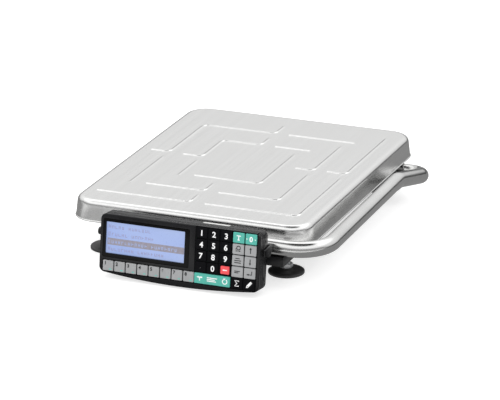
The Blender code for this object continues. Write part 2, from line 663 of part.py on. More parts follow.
def keypad_parts(name, near, far, surface, grow=0.0, cutter=False):
    """An L-shaped plate over the keypad and the function-key strip."""
    plate = area_box(name, KEYPAD_AREA, near, far, surface, cutter, grow)
    join(plate, area_box(f"{name}_strip_tool", STRIP_AREA, near, far, cutter=True, grow=grow))
    return plate


def front_housing():
    shell = prism("front_housing", housing_outline(GROOVE), 0.001, FRONT_DEPTH - 0.0005, BLACK_PLASTIC)
    for index, (near, far) in enumerate(((0.0, 0.0048), (0.0058, 0.0094), (0.0104, FRONT_DEPTH))):
        join(shell, prism(f"band_tool_{index}", housing_outline(0.0), near, far, cutter=True),
             solver='MANIFOLD')
    cut(shell, prism("front_hollow_tool", housing_outline(HOUSING_WALL), HOUSING_WALL, 2 * FRONT_DEPTH,
                     cutter=True),
        area_box("window_seat_tool", WINDOW, -0.01, 0.0018, cutter=True, grow=GAP),
        area_box("window_hole_tool", LCD_VIEW, -0.01, 0.01, cutter=True),
        area_box("keypad_hole_tool", KEYPAD_AREA, -0.01, 0.01, cutter=True, grow=GAP),
        area_box("strip_hole_tool", STRIP_AREA, -0.01, 0.01, cutter=True, grow=GAP), solver='MANIFOLD')
    on_face(shell)


def rear_housing():
    near = FRONT_DEPTH + GAP
    shell = prism("rear_housing", housing_outline(0.0, REAR_BOW), near, HOUSING_DEPTH, BLACK_PLASTIC)
    cut(shell, prism("rear_hollow_tool", housing_outline(HOUSING_WALL, REAR_BOW), 0.0,
                     HOUSING_DEPTH - HOUSING_WALL, cutter=True))
    cut(shell, cylinder("pivot_hole_tool", 0.0029, (-0.2, PIVOT_DEPTH, PIVOT_HEIGHT),
                        (0.2, PIVOT_DEPTH, PIVOT_HEIGHT), cutter=True, segments=20))
    cut(shell, cylinder("inlet_hole_tool", 0.0055, (INLET_X, INLET_DEPTH, -0.06),
                        (INLET_X, INLET_DEPTH, -0.02), cutter=True))
    on_face(shell)


def terminal_inside():
    on_face(area_box("display_window", WINDOW, 0.0002, 0.0015, WINDOW_CLEAR))
    on_face(area_box("lcd_module", LCD_VIEW, HOUSING_WALL + GAP, 0.0085, LCD_BLUE, grow=0.002))
    overlay = keypad_parts("keypad_overlay", 0.0003, 0.0022, OVERLAY_BLACK)
    for name, across, up, width, height, _ in key_layout():
        area = (across - width / 2, across + width / 2, up - height / 2, up + height / 2)
        cut(overlay, area_box(f"{name}_tool", area, -0.01, 0.01, cutter=True, grow=GAP))
    on_face(overlay)
    switch_area = (0.0105, 0.0985, -0.0335, 0.0335)
    on_face(area_box("key_switch_board", switch_area, 0.0040, 0.0052, BOARD_GREEN))
    on_face(area_box("main_board", (-0.096, 0.096, -0.033, 0.032), 0.0100, 0.0116, BOARD_GREEN))
    on_face(area_box("battery_pack", (-0.080, -0.008, -0.028, -0.006), 0.0122, 0.0232, BATTERY_GREY,
                     round_edges=0.001))
    inlet = cylinder("power_inlet", 0.0052, (INLET_X, INLET_DEPTH, INLET_END),
                     (INLET_X, INLET_DEPTH, -0.029), BLACK_PLASTIC)
    cut(inlet, cylinder("inlet_socket_tool", 0.003, (INLET_X, INLET_DEPTH, -0.05),
                        (INLET_X, INLET_DEPTH, -0.0315), cutter=True, segments=16))
    on_face(inlet)


def key(name, across, up, width, height, surface):
    """A sprung key cap, parented to its own empty, which lies on the key's line of travel."""
    slide = empty(f"{name}_slide", (across, -PIVOT_DEPTH, up - PIVOT_HEIGHT), parent=TERMINAL_TILT)
    cap = box(name, (-width / 2, -KEY_PROUD, -height / 2), (width / 2, KEY_BACK, height / 2), surface,
              round_edges=0.0004)
    hang(slide, cap)


def centre_on_floor():
    """Moves everything sideways until the middle of its bounding box is over the origin."""
    bpy.context.view_layer.update()
    graph = bpy.context.evaluated_depsgraph_get()
    corners = []
    for part in PARTS.objects:
        if part.type == 'MESH':
            ready = part.evaluated_get(graph)
            corners += [ready.matrix_world @ vert.co for vert in ready.data.vertices]
    middle_x = (min(p.x for p in corners) + max(p.x for p in corners)) / 2
    middle_y = (min(p.y for p in corners) + max(p.y for p in corners)) / 2
    for part in [*PARTS.objects, *CUTTERS.objects]:
        if part.parent is None:
            part.location.x -= middle_x
            part.location.y -= middle_y


# ---- assembly -------------------------------------------------------------------------------
LEAN = math.radians(FACE_LEAN)
PIVOT_Y = FACE_Y + PIVOT_DEPTH * math.cos(LEAN) + PIVOT_HEIGHT * math.sin(LEAN)
PIVOT_Z = FACE_Z + PIVOT_HEIGHT * math.cos(LEAN) - PIVOT_DEPTH * math.sin(LEAN)

PAN_SEAT = empty("pan_seat", (0.0, 0.0, PAN_TOP))
WEIGH = empty("weigh_slide", (0.0, 0.0, 0.0))
STAND_HINGE = empty("stand_hinge", (0.0, STAND_HINGE_Y, STAND_HINGE_Z))
TERMINAL_TILT = empty("terminal_tilt", (FACE_X, PIVOT_Y - STAND_HINGE_Y, PIVOT_Z - STAND_HINGE_Z),
                      (-LEAN, 0.0, 0.0), STAND_HINGE)

platform_pan()
load_frame()
load_cell()
base_frame()
bubble_level()
for end_name, end_sign in (("front", -1), ("rear", 1)):
    for side_name, side_sign in (("left", -1), ("right", 1)):
        foot(f"{end_name}_{side_name}", side_sign * FOOT_X, end_sign * FOOT_Y)
stand_bushing("stand_bushing_outer", RAIL_X - RAIL_WIDTH / 2, OUTER_BUSH_END)
stand_bushing("stand_bushing_inner", HANGER_X - HANGER_THICKNESS, HANGER_X + HANGER_THICKNESS)
stand()
terminal_bracket()
tilt_knob("tilt_knob_left", -1)
tilt_knob("tilt_knob_right", 1)
front_housing()
rear_housing()
terminal_inside()
for entry in key_layout():
    key(*entry)
centre_on_floor()
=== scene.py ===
"""Looks of the portable goods scale: fine meshes, materials, studio light and the camera.

Metres, in the row's frame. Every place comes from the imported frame; sizes of fine detail are named here.
"""
import json
import math
import random

import bmesh
import bpy
from mathutils import Matrix, Vector
from mathutils.geometry import delaunay_2d_cdt


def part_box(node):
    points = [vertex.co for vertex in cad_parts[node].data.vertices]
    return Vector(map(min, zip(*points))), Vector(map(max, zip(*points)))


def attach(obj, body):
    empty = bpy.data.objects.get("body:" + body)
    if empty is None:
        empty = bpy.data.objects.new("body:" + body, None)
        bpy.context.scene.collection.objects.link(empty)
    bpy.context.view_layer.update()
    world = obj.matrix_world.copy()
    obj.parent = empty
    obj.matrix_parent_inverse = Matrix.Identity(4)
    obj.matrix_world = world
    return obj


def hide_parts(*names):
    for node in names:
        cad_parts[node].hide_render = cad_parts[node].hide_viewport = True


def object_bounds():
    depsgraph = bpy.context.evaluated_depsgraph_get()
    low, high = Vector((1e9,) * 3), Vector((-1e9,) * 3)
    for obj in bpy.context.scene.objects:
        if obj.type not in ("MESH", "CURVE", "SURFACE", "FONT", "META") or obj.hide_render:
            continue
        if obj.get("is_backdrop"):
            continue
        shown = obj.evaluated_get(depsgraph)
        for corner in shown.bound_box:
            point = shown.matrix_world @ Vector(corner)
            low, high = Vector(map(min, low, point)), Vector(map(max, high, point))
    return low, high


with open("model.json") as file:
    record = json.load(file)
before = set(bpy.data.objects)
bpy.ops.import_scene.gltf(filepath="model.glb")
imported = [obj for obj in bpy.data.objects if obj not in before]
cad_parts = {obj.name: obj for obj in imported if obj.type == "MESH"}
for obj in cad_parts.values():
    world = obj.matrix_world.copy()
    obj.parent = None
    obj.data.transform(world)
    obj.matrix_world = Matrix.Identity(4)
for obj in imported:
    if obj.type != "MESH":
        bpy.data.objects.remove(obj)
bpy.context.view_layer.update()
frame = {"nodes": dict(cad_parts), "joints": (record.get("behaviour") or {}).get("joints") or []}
NODES = frame["nodes"]
JOINTS = {joint["name"]: joint for joint in frame["joints"]}


def middle(node):
    low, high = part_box(node)
    return (low + high) / 2


# ---- sizes that the fine shapes share with the frame ----
MM = 0.001
PAN_HALF = (155 * MM, 200 * MM)
PAN_CORNER = 29 * MM
PAN_EDGE = 7.5 * MM
PAN_SKIRT = 26.2 * MM
PAN_DRAFT = 2.2 * MM
PAN_SHEET = 1.0 * MM
PAN_STEPS = 12          # steps of a corner
HEM_RADIUS = 0.8 * MM
BEAD_HALF = 2.35 * MM
BEAD_CAP = 0.4          # length of a bead's steep end as a share of its half width
BEAD_HEIGHT = 1.8 * MM
BEAD_RISE = 0.93 * MM
BEAD_TIP = 1.5 * MM
BEAD_BEND = 8 * MM
BEAD_SHARES = (1.0, 0.84, 0.68, 0.52, 0.36, 0.18)
PAN_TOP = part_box("platform_pan")[1].z - BEAD_HEIGHT
PAN_CENTRE = Vector((middle("platform_pan").x, middle("platform_pan").y, PAN_TOP))
PAN_FOOT = Vector((PAN_CENTRE.x, PAN_CENTRE.y, 0.0))

# Bead centrelines from the middle of the pan, tip to tip, in millimetres.
BEAD_RUNS = (
    ((-136, 10), (-110, 10), (-110, 128), (-11, 128), (-11, 159)),
    ((-110, -119), (-110, -11)),
    ((-137, -159), (-12, -159), (-12, -132)),
    ((7, -159), (130, -159), (130, -11)),
    ((104, 10), (130, 10), (130, 159)),
    ((7, 128), (100, 128)),
    ((-91, 8), (-64, 8), (-64, 78), (-11, 78), (-11, 106)),
    ((-64, -72), (-64, -12)),
    ((-90, -114), (-11, -114), (-11, -85)),
    ((7, -114), (87, -114), (87, -12)),
    ((62, 8), (87, 8), (87, 107)),
    ((7, 78), (57, 78)),
    ((-46, -64), (43, -64), (43, 56)),
)

# the stand tube's corners from the middle of the pan (Z from the floor), and its bends
STAND_CORNERS = ((-92, -217, 52.0), (181, -217, 49.6), (181, 57, 54.2), (191, 150, 33.5), (16, 150, 33.5))
STAND_BENDS = (42 * MM, 45 * MM, 26 * MM)
TUBE_RADIUS = 10 * MM
TUBE_BORE = 8.5 * MM

# the terminal's face: its axes, and its centre from the tilt axis
FACE_LEAN = math.radians(7.6)
FACE_ACROSS = Vector((1.0, 0.0, 0.0))
FACE_UP = Vector((0.0, math.sin(FACE_LEAN), math.cos(FACE_LEAN)))
FACE_OUT = Vector((0.0, -math.cos(FACE_LEAN), math.sin(FACE_LEAN)))
FACE_TURN = Matrix((FACE_ACROSS, FACE_UP, FACE_OUT)).transposed().to_4x4()
PIVOT = Vector(JOINTS["terminal_tilt"]["pos_m"])
PIVOT_DEPTH, PIVOT_HEIGHT = 14 * MM, 10.7 * MM
FACE_CENTRE = PIVOT + FACE_OUT * PIVOT_DEPTH - FACE_UP * PIVOT_HEIGHT
HOUSING_HALF = 103.8 * MM
HOUSING_TOP = 36.3 * MM
HOUSING_SIDE_BOTTOM = -36.5 * MM
HOUSING_CORNER = 7.5 * MM
FRONT_BOW, REAR_BOW = 5.8 * MM, 3.0 * MM

# openings of the face: left, right, bottom and top in millimetres
WINDOW = (-99.5, 12.5, -17.0, 30.0)
LCD_VIEW = (-96.5, 6.5, -12.5, 26.5)
KEYPAD = (20.5, 100.0, -34.8, 35.5)
STRIP = (-99.5, 21.5, -34.8, -20.4)
KEY_HALF_THICKNESS = 1.65 * MM


def in_mm(points):
    """Pairs in millimetres, turned into metres."""
    return [(first * MM, second * MM) for first, second in points]


def face_place(across, up, out=0.0):
    """A point and the axes of the terminal's face, so that local X, Y lie on it and Z points out."""
    place = FACE_CENTRE + FACE_ACROSS * across + FACE_UP * up + FACE_OUT * out
    return Matrix.Translation(place) @ FACE_TURN


# ---- materials ----
def plain(name, colour, roughness, metallic=0.0, **settings):
    """A Principled material. Settings are the names of its other sockets, with _ for spaces."""
    made = bpy.data.materials.new(name)
    made.use_nodes = True
    shader = made.node_tree.nodes["Principled BSDF"]
    shader.inputs["Base Color"].default_value = (*colour, 1.0)
    shader.inputs["Roughness"].default_value = roughness
    shader.inputs["Metallic"].default_value = metallic
    for socket, value in settings.items():
        shader.inputs[socket.replace("_", " ")].default_value = value
    return made


def node(made, kind, **values):
    """A new shader node. Values set its inputs where it has one of that name, else its properties."""
    new = made.node_tree.nodes.new(f"ShaderNode{kind}")
    for key, value in values.items():
        socket = new.inputs.get(key.replace("_", " "))
        if socket is None:
            setattr(new, key, value)
        else:
            socket.default_value = value
    return new


def wire(source, target):
    source.id_data.links.new(source, target)


def object_noise(made, stretch, detail):
    """Noise in the piece's own coordinates, in cycles a metre: one number, or one for each axis."""
    scale = stretch if isinstance(stretch, (tuple, list)) else (stretch, stretch, stretch)
    place = node(made, "TexCoord")
    fit = node(made, "Mapping", Scale=scale)
    pattern = node(made, "TexNoise", Scale=1.0, Detail=detail, Roughness=0.55)
    wire(place.outputs["Object"], fit.inputs["Vector"])
    wire(fit.outputs["Vector"], pattern.inputs["Vector"])
    return pattern.outputs["Fac"]


def spread(made, stretch, low, high, detail=4.0):
    """Noise whose middle is mapped onto a range."""
    mapped = node(made, "MapRange", From_Min=0.3, From_Max=0.7, To_Min=low, To_Max=high)
    wire(object_noise(made, stretch, detail), mapped.inputs["Value"])
    return mapped.outputs["Result"]


def worn(name, colour, tint, stretch, rough, rough_stretch, bump_stretch, bump, depth=0.0002, metallic=0.0,
         **settings):
    """A material whose colour and roughness vary, with a fine relief."""
    made = plain(name, colour, rough[0], metallic, **settings)
    shader = made.node_tree.nodes["Principled BSDF"]
    blend = node(made, "Mix", data_type='RGBA')
    blend.inputs["A"].default_value = (*[part * (1 - tint) for part in colour], 1.0)
    blend.inputs["B"].default_value = (*[min(part * (1 + tint), 1.0) for part in colour], 1.0)
    wire(spread(made, stretch, 0.0, 1.0), blend.inputs["Factor"])
    wire(blend.outputs["Result"], shader.inputs["Base Color"])
    wire(spread(made, rough_stretch, *rough), shader.inputs["Roughness"])
    relief = node(made, "Bump", Strength=bump, Distance=depth)
    wire(object_noise(made, bump_stretch, detail=3.0), relief.inputs["Height"])
    wire(relief.outputs["Normal"], shader.inputs["Normal"])
    return made


GRINDING = 1400.0       # lines a metre


def brushed(name, colour, rough, along, strength, tint=0.05):
    """Metal with fine grinding lines that run along one axis."""
    lines = [GRINDING, GRINDING, GRINDING]
    lines["XYZ".index(along)] = GRINDING / 100
    soft = [part / 6 for part in lines]
    return worn(name, colour, tint, soft, rough, 30, lines, strength, depth=0.00003, metallic=1.0)


def plastic(name, colour, rough, grain=2600.0, bump=0.25, tint=0.12, specular=0.5, **settings):
    """Moulded plastic: a fine spark texture and slight handling wear."""
    return worn(name, colour, tint, 60, rough, 45, grain, bump, depth=0.00004, Specular_IOR_Level=specular,
                **settings)


def key_film(name, colour, rough=(0.38, 0.5), bump=0.14, **settings):
    """Plastic with a very fine grain."""
    return plastic(name, colour, rough, 4200.0, bump, **settings)


def painted(name, colour, rough):
    """Powder coat: an orange-peel skin."""
    return worn(name, colour, 0.2, 25, rough, 60, 700, 0.35, depth=0.00012, Coat_Weight=0.15,
                Coat_Roughness=0.3)


STEEL = brushed("pan_steel", (0.735, 0.735, 0.73), (0.20, 0.27), "Y", strength=0.06, tint=0.025)
TUBE_STEEL = worn("tube_steel", (0.66, 0.66, 0.655), 0.04, 20, (0.13, 0.21), 35, 900, 0.03, depth=0.00003,
                  metallic=1.0)
ZINC = worn("zinc_plate", (0.84, 0.85, 0.86), 0.12, 160, (0.22, 0.42), 200, 1500, 0.1, depth=0.00004,
            metallic=1.0)
ALUMINIUM = brushed("cell_aluminium", (0.76, 0.77, 0.78), (0.25, 0.4), "Y", strength=0.2)
BLACK_STEEL = painted("powder_black", (0.010, 0.010, 0.011), (0.38, 0.55))
HOUSING_BLACK = plastic("housing_black", (0.005, 0.005, 0.006), (0.20, 0.30), bump=0.16, specular=0.34)
KNOB_BLACK = plastic("knob_black", (0.009, 0.009, 0.010), (0.42, 0.58), specular=0.4)
FOOT_BLACK = plastic("foot_black", (0.034, 0.034, 0.035), (0.36, 0.55), grain=1500.0, bump=0.3)
OVERLAY = key_film("overlay_black", (0.004, 0.004, 0.005), (0.42, 0.54), bump=0.18, specular=0.06)
KEY_GREY = key_film("key_grey", (0.33, 0.335, 0.34), tint=0.04)
KEY_BLACK = key_film("key_black", (0.004, 0.004, 0.005), (0.42, 0.54), bump=0.16, specular=0.06)
KEY_TEAL = key_film("key_teal", (0.075, 0.42, 0.345), tint=0.05)
KEY_RED = key_film("key_red", (0.84, 0.075, 0.085), tint=0.05)
INK_WHITE = plastic("ink_white", (0.86, 0.86, 0.86), (0.4, 0.5), bump=0.05, tint=0.03)
INK_DARK = plastic("ink_dark", (0.008, 0.008, 0.009), (0.4, 0.5), bump=0.05)
INK_TEAL = plastic("ink_teal", (0.16, 0.46, 0.40), (0.4, 0.5), bump=0.05)
PRINT_BLACK = plastic("window_print", (0.002, 0.002, 0.002), (0.06, 0.12), grain=300.0, bump=0.02,
                      specular=0.12)
LABEL = plastic("label_film", (0.62, 0.62, 0.61), (0.25, 0.4), grain=900.0, bump=0.06, tint=0.04)
BOARD = worn("board_green", (0.015, 0.16, 0.07), 0.35, (900, 60, 900), (0.3, 0.45), 200, 1200, 0.3)
BATTERY = plastic("battery_sleeve", (0.24, 0.27, 0.32), (0.25, 0.4), grain=300.0, bump=0.1)
NYLON = plastic("bush_nylon", (0.05, 0.05, 0.052), (0.35, 0.5))
VIAL = worn("level_liquid", (0.55, 0.72, 0.08), 0.08, 120, (0.05, 0.12), 90, 300, 0.02,
            Transmission_Weight=0.35, IOR=1.45)


def lcd_surface():
    """Backlit panel: light blue with a faint unevenness."""
    made = plain("lcd_backlight", (0.10, 0.13, 0.26), 0.28, Emission_Strength=0.72)
    shader = made.node_tree.nodes["Principled BSDF"]
    glow = node(made, "Mix", data_type='RGBA')
    glow.inputs["A"].default_value = (0.31, 0.41, 0.70, 1.0)
    glow.inputs["B"].default_value = (0.50, 0.59, 0.78, 1.0)
    wire(spread(made, (9, 9, 14), 0.0, 1.0, detail=1.0), glow.inputs["Factor"])
    wire(glow.outputs["Result"], shader.inputs["Emission Color"])
    wire(spread(made, 400, 0.25, 0.35), shader.inputs["Roughness"])
    return made


def lcd_print(name, colour, glow, strength):
    """A shape printed on the panel, lit from behind."""
    return worn(name, colour, 0.2, 300, (0.3, 0.4), 300, 900, 0.05, Emission_Color=(*glow, 1.0),
                Emission_Strength=strength)


LCD = lcd_surface()
LCD_INK = lcd_print("lcd_ink", (0.12, 0.10, 0.20), (0.32, 0.33, 0.47), 0.55)
LCD_BAR = lcd_print("lcd_highlight", (0.15, 0.14, 0.16), (0.34, 0.32, 0.40), 0.42)


# ---- meshes and pieces ----
def smooth(obj, angle):
    obj.data.shade_smooth()
    obj.data.set_sharp_from_angle(angle=math.radians(angle))


def linked(name, data):
    """A new object in the scene."""
    made = bpy.data.objects.new(name, data)
    bpy.context.scene.collection.objects.link(made)
    return made


def piece(name, mesh, material, body, replaces, place=None, angle=35.0):
    """Adds a visual piece that rides on a body, takes a material, and may stand for CAD nodes."""
    mesh.name = name
    made = linked(name, mesh)
    mesh.materials.append(material)
    if place is not None:
        mesh.transform(place)
    smooth(made, angle)
    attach(made, body)
    if replaces:
        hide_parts(*replaces)
    return made


def finished_mesh(bm):
    bmesh.ops.recalc_face_normals(bm, faces=bm.faces)
    mesh = bpy.data.meshes.new("shape")
    bm.to_mesh(mesh)
    bm.free()
    return mesh


def bridge(bm, rows):
    """Quads between each ring of points and the next."""
    count = len(rows[0])
    for upper, lower in zip(rows, rows[1:]):
        for index in range(count):
            after = (index + 1) % count
            bm.faces.new((upper[index], upper[after], lower[after], lower[index]))


def loft(rings):
    """A closed solid through rings of equally many points, with flat ends."""
    bm = bmesh.new()
    rows = [[bm.verts.new(point) for point in ring] for ring in rings]
    bridge(bm, rows)
    bm.faces.new(rows[0])
    bm.faces.new(rows[-1])
    return finished_mesh(bm)


def turned(profile, segments):
    """A closed solid turned about Z from (radius, height) points that start and end on the axis."""
    bm = bmesh.new()
    corners = [bm.verts.new((radius, 0.0, height)) for radius, height in profile]
    edges = [bm.edges.new(pair) for pair in zip(corners, corners[1:])]
    bmesh.ops.spin(bm, geom=corners + edges, cent=(0, 0, 0), axis=(0, 0, 1), angle=math.tau, steps=segments,
                   use_merge=True)
    bmesh.ops.remove_doubles(bm, verts=bm.verts, dist=0.000005)
    return finished_mesh(bm)


def add_block(bm, size, centre):
    made = bmesh.ops.create_cube(bm, size=1.0)["verts"]
    bmesh.ops.scale(bm, vec=size, verts=made)
    bmesh.ops.translate(bm, vec=centre, verts=made)


def rod(radius, low, high, segments):
    """A round bar along Z between two heights."""
    return turned([(0.0, low), (radius, low), (radius, high), (0.0, high)], segments)


def even(turn):
    return 1.0


def circle(radius, height, count, shape=even):
    """A level ring of points round Z, its radius scaled by a function of the angle."""
    ring = []
    for turn in [math.tau * step / count for step in range(count)]:
        reach = radius * shape(turn)
        ring.append((reach * math.cos(turn), reach * math.sin(turn), height))
    return ring


def corner_arc(x, y, radius, quarter, steps):
    """A quarter of a circle about a point, with the quarters counted from +X."""
    turns = [math.radians(90.0 * (quarter + step / steps)) for step in range(steps + 1)]
    return [(x + radius * math.cos(turn), y + radius * math.sin(turn)) for turn in turns]


def rounded_rectangle(half_x, half_y, radius, steps=6):
    points = []
    for quarter, (side_x, side_y) in enumerate(((1, 1), (-1, 1), (-1, -1), (1, -1))):
        points += corner_arc(side_x * (half_x - radius), side_y * (half_y - radius), radius, quarter, steps)
    return points


def rounded_route(corners, radii, steps):
    """Points along straight stretches whose inner corners are arcs of the given radii."""
    corners = [Vector(corner) for corner in corners]
    route = [corners[0]]
    for before, corner, after, radius in zip(corners, corners[1:], corners[2:], radii):
        back, ahead = (before - corner).normalized(), (after - corner).normalized()
        half = back.angle(ahead) / 2
        centre = corner + (back + ahead).normalized() * radius / math.sin(half)
        arm_a = corner + back * radius / math.tan(half) - centre
        arm_b = corner + ahead * radius / math.tan(half) - centre
        sweep = arm_a.angle(arm_b)
        for step in range(steps + 1):
            share = step / steps
            arm = arm_a * math.sin((1 - share) * sweep) + arm_b * math.sin(share * sweep)
            route.append(centre + arm / math.sin(sweep))
    route.append(corners[-1])
    return route


def plate(area, rows, corner):
    """A rounded plate over a left, right, bottom, top area through rows of (inset, out), in millimetres."""
    left, right, bottom, top = [value * MM for value in area]
    centre_x, centre_y = (left + right) / 2, (bottom + top) / 2
    rings = []
    for inset, out in in_mm(rows):
        outline = rounded_rectangle((right - left) / 2 - inset, (top - bottom) / 2 - inset,
                                    max(corner * MM - inset, 0.0001))
        rings.append([(centre_x + x, centre_y + y, out) for x, y in outline])
    return loft(rings)


def cutter(mesh, place):
    """A tool for a boolean. It is taken away again by apply_cuts."""
    made = linked("cutter", mesh)
    made.data.transform(place)
    return made


def evaluated_mesh(obj):
    graph = bpy.context.evaluated_depsgraph_get()
    return bpy.data.meshes.new_from_object(obj.evaluated_get(graph))


def apply_cuts(obj, tools, operation='DIFFERENCE', angle=35.0):
    """Cuts or joins a piece with its tools and keeps the result as its mesh."""
    for tool in tools:
        step = obj.modifiers.new(tool.name, 'BOOLEAN')
        step.operation = operation
        step.solver = 'EXACT'
        step.object = tool
    result = evaluated_mesh(obj)
    obj.modifiers.clear()
    obj.data = result
    for tool in tools:
        bpy.data.objects.remove(tool, do_unlink=True)
    smooth(obj, angle)


def softened(node_name, body, material, width, segments=2):
    """A CAD node's own shape with its edges rounded, in place of the node."""
    mesh = NODES[node_name].data.copy()
    mesh.materials.clear()
    made = piece(f"{node_name}_finished", mesh, material, body, (node_name,))
    weld = made.modifiers.new("weld", 'WELD')
    weld.merge_threshold = 0.00001
    rounding = made.modifiers.new("rounding", 'BEVEL')
    rounding.width = width
    rounding.segments = segments
    rounding.limit_method = 'ANGLE'
    rounding.angle_limit = math.radians(40)
    rounding.harden_normals = True
    return made


def paint(node_name, material):
    """Gives a CAD node that is shown as it is its material."""
    obj = NODES[node_name]
    obj.data.materials.clear()
    obj.data.materials.append(material)


# ---- weighing pan ----
def bead_contour(route, share):
    """The closed line round a bead at a share of its half width from its centreline."""
    reach = BEAD_HALF * share
    sides = []
    for index, point in enumerate(route):
        before, after = route[max(index - 1, 0)], route[min(index + 1, len(route) - 1)]
        ahead = (after - before).normalized()
        sides.append((point, Vector((-ahead.y, ahead.x)), ahead))
    loop = [point + left * reach for point, left, _ in sides]
    loop += [point - left * reach for point, left, _ in reversed(sides)]
    caps = []
    arc = [math.radians(180.0 * step / 8) for step in range(1, 8)]
    start, left, ahead = sides[0]
    for point, left, ahead in (sides[-1], (start, -left, -ahead)):
        caps.append([point + (left * math.cos(turn) + ahead * math.sin(turn) * BEAD_CAP) * reach
                     for turn in arc])
    count = len(sides)
    return loop[:count] + caps[0] + loop[count:] + caps[1]


def pan_sheet_points():
    """Plan points of the pan's flat top with each one's height, and the lines that join them."""
    points, heights, lines = [], [], []

    def add_loop(loop, height, closed=True):
        first = len(points)
        points.extend(Vector((p[0], p[1])) for p in loop)
        heights.extend([height] * len(loop))
        lines.extend((first + index, first + index + 1) for index in range(len(loop) - 1))
        if closed:
            lines.append((first + len(loop) - 1, first))

    for inset in (0.0, 1.2 * MM):
        rim = PAN_EDGE + inset
        add_loop(rounded_rectangle(PAN_HALF[0] - rim, PAN_HALF[1] - rim, PAN_CORNER - rim, PAN_STEPS), 0.0)
    for run in BEAD_RUNS:
        tips = [Vector((x * MM, y * MM)) for x, y in run]
        tips[0] = tips[0] + (tips[1] - tips[0]).normalized() * BEAD_HALF * BEAD_CAP
        tips[-1] = tips[-1] + (tips[-2] - tips[-1]).normalized() * BEAD_HALF * BEAD_CAP
        flat = [Vector((tip.x, tip.y, 0.0)) for tip in tips]
        route = [Vector((p.x, p.y)) for p in rounded_route(flat, [BEAD_BEND] * (len(flat) - 2), 6)]
        for first, towards, spot in ((0, 1, 1), (-1, -2, len(route))):
            near_tip = route[first] + (route[towards] - route[first]).normalized() * BEAD_TIP
            route.insert(spot, near_tip)
        add_loop(bead_contour(route, 1.18), 0.0)
        for share in BEAD_SHARES:
            add_loop(bead_contour(route, share), BEAD_RISE * (1 + math.cos(math.pi * share)) / 2)
        add_loop(route, BEAD_RISE, closed=False)
    return points, heights, lines


def pan_edge_rows():
    """(outwards from the flat top's rim, height) over the edge, down the skirt and round the hem."""
    slope = math.atan2(PAN_DRAFT, PAN_SKIRT - PAN_EDGE)
    rows = []
    for radius, steps in ((PAN_EDGE, range(1, 11)), (PAN_EDGE - PAN_SHEET, range(10, 0, -1))):
        arc = []
        for step in steps:
            turn = (math.pi / 2 - slope) * step / 10
            arc.append((radius * math.sin(turn), radius * math.cos(turn) - PAN_EDGE))
        rows.append(arc)
    hem_centre = (PAN_EDGE + PAN_DRAFT, -PAN_SKIRT + HEM_RADIUS / 2)
    hem = []
    for step in range(13):
        turn = math.radians(80 - 280 * step / 12)
        hem.append((hem_centre[0] + HEM_RADIUS * math.cos(turn), hem_centre[1] + HEM_RADIUS * math.sin(turn)))
    waist = -PAN_SKIRT + 2.6 * HEM_RADIUS
    outer = (PAN_EDGE + PAN_DRAFT * 0.9, waist)
    inner = (PAN_EDGE + PAN_DRAFT * 0.9 - PAN_SHEET, waist)
    return rows[0] + [outer] + hem + [inner] + rows[1]


def weighing_pan():
    points, heights, lines = pan_sheet_points()
    made = delaunay_2d_cdt(points, lines, [], 1, 1e-7)
    plan, faces, sources = made[0], made[2], made[3]
    bm = bmesh.new()
    sheets = []
    for drop in (0.0, PAN_SHEET):
        sheet = [bm.verts.new((p.x, p.y, heights[source[0]] - drop)) for p, source in zip(plan, sources)]
        for face in faces:
            bm.faces.new([sheet[index] for index in face])
        sheets.append(sheet)
    index_of = {source[0]: index for index, source in enumerate(sources)}
    rim = [index_of[index] for index in range(4 * (PAN_STEPS + 1))]
    rows = [[sheets[0][index] for index in rim]]
    for outward, height in pan_edge_rows():
        out = outward - PAN_EDGE
        ring = rounded_rectangle(PAN_HALF[0] + out, PAN_HALF[1] + out, PAN_CORNER + out, PAN_STEPS)
        rows.append([bm.verts.new((x, y, height)) for x, y in ring])
    rows.append([sheets[1][index] for index in rim])
    bridge(bm, rows)
    piece("weighing_pan", finished_mesh(bm), STEEL, "pan", ("platform_pan",),
          Matrix.Translation(PAN_CENTRE), angle=60)


# ---- stand ----
def swept_tube(route, radius, bore, sides=40):
    """A hollow round tube along a route, closed by its annular ends."""
    bm = bmesh.new()
    ahead = (route[1] - route[0]).normalized()
    side = ahead.orthogonal().normalized()
    outer, inner = [], []
    for index, point in enumerate(route):
        before, after = route[max(index - 1, 0)], route[min(index + 1, len(route) - 1)]
        turned_ahead = (after - before).normalized()
        side = ahead.rotation_difference(turned_ahead) @ side
        ahead = turned_ahead
        up = ahead.cross(side)
        for rows, reach in ((outer, radius), (inner, bore)):
            ring = []
            for step in range(sides):
                turn = math.tau * step / sides
                ring.append(bm.verts.new(point + (side * math.cos(turn) + up * math.sin(turn)) * reach))
            rows.append(ring)
    bridge(bm, outer + inner[::-1] + outer[:1])
    return finished_mesh(bm)


def stand():
    route = rounded_route([PAN_FOOT + Vector(corner) * MM for corner in STAND_CORNERS], STAND_BENDS, 16)
    piece("stand_tube_polished", swept_tube(route, TUBE_RADIUS, TUBE_BORE), TUBE_STEEL, "stand",
          ("stand_tube",))
    softened("stand_end_plug", "stand", KNOB_BLACK, 0.0008, segments=3)
    softened("terminal_bracket", "stand", BLACK_STEEL, 0.0004)


# ---- feet ----
# (radius, height) in millimetres
FOOT_PROFILE = ((0.0, 0.2), (19.0, 0.2), (19.6, 0.0), (21.7, 0.0), (22.3, 0.35), (22.5, 1.0), (22.5, 2.6),
                (22.2, 3.2), (21.4, 3.75), (19.0, 4.35), (15.0, 5.05), (11.0, 5.75), (9.3, 6.2), (8.6, 6.6),
                (7.9, 6.8), (6.0, 6.8), (5.4, 6.6), (5.3, 3.0), (0.0, 3.0))
STUD_RADIUS, STUD_FOOT, STUD_TOP = 5.0, 3.3, 38.0
NUT_FOOT, NUT_TOP, NUT_FLATS = 7.1 * MM, 12.6 * MM, 14.5 * MM


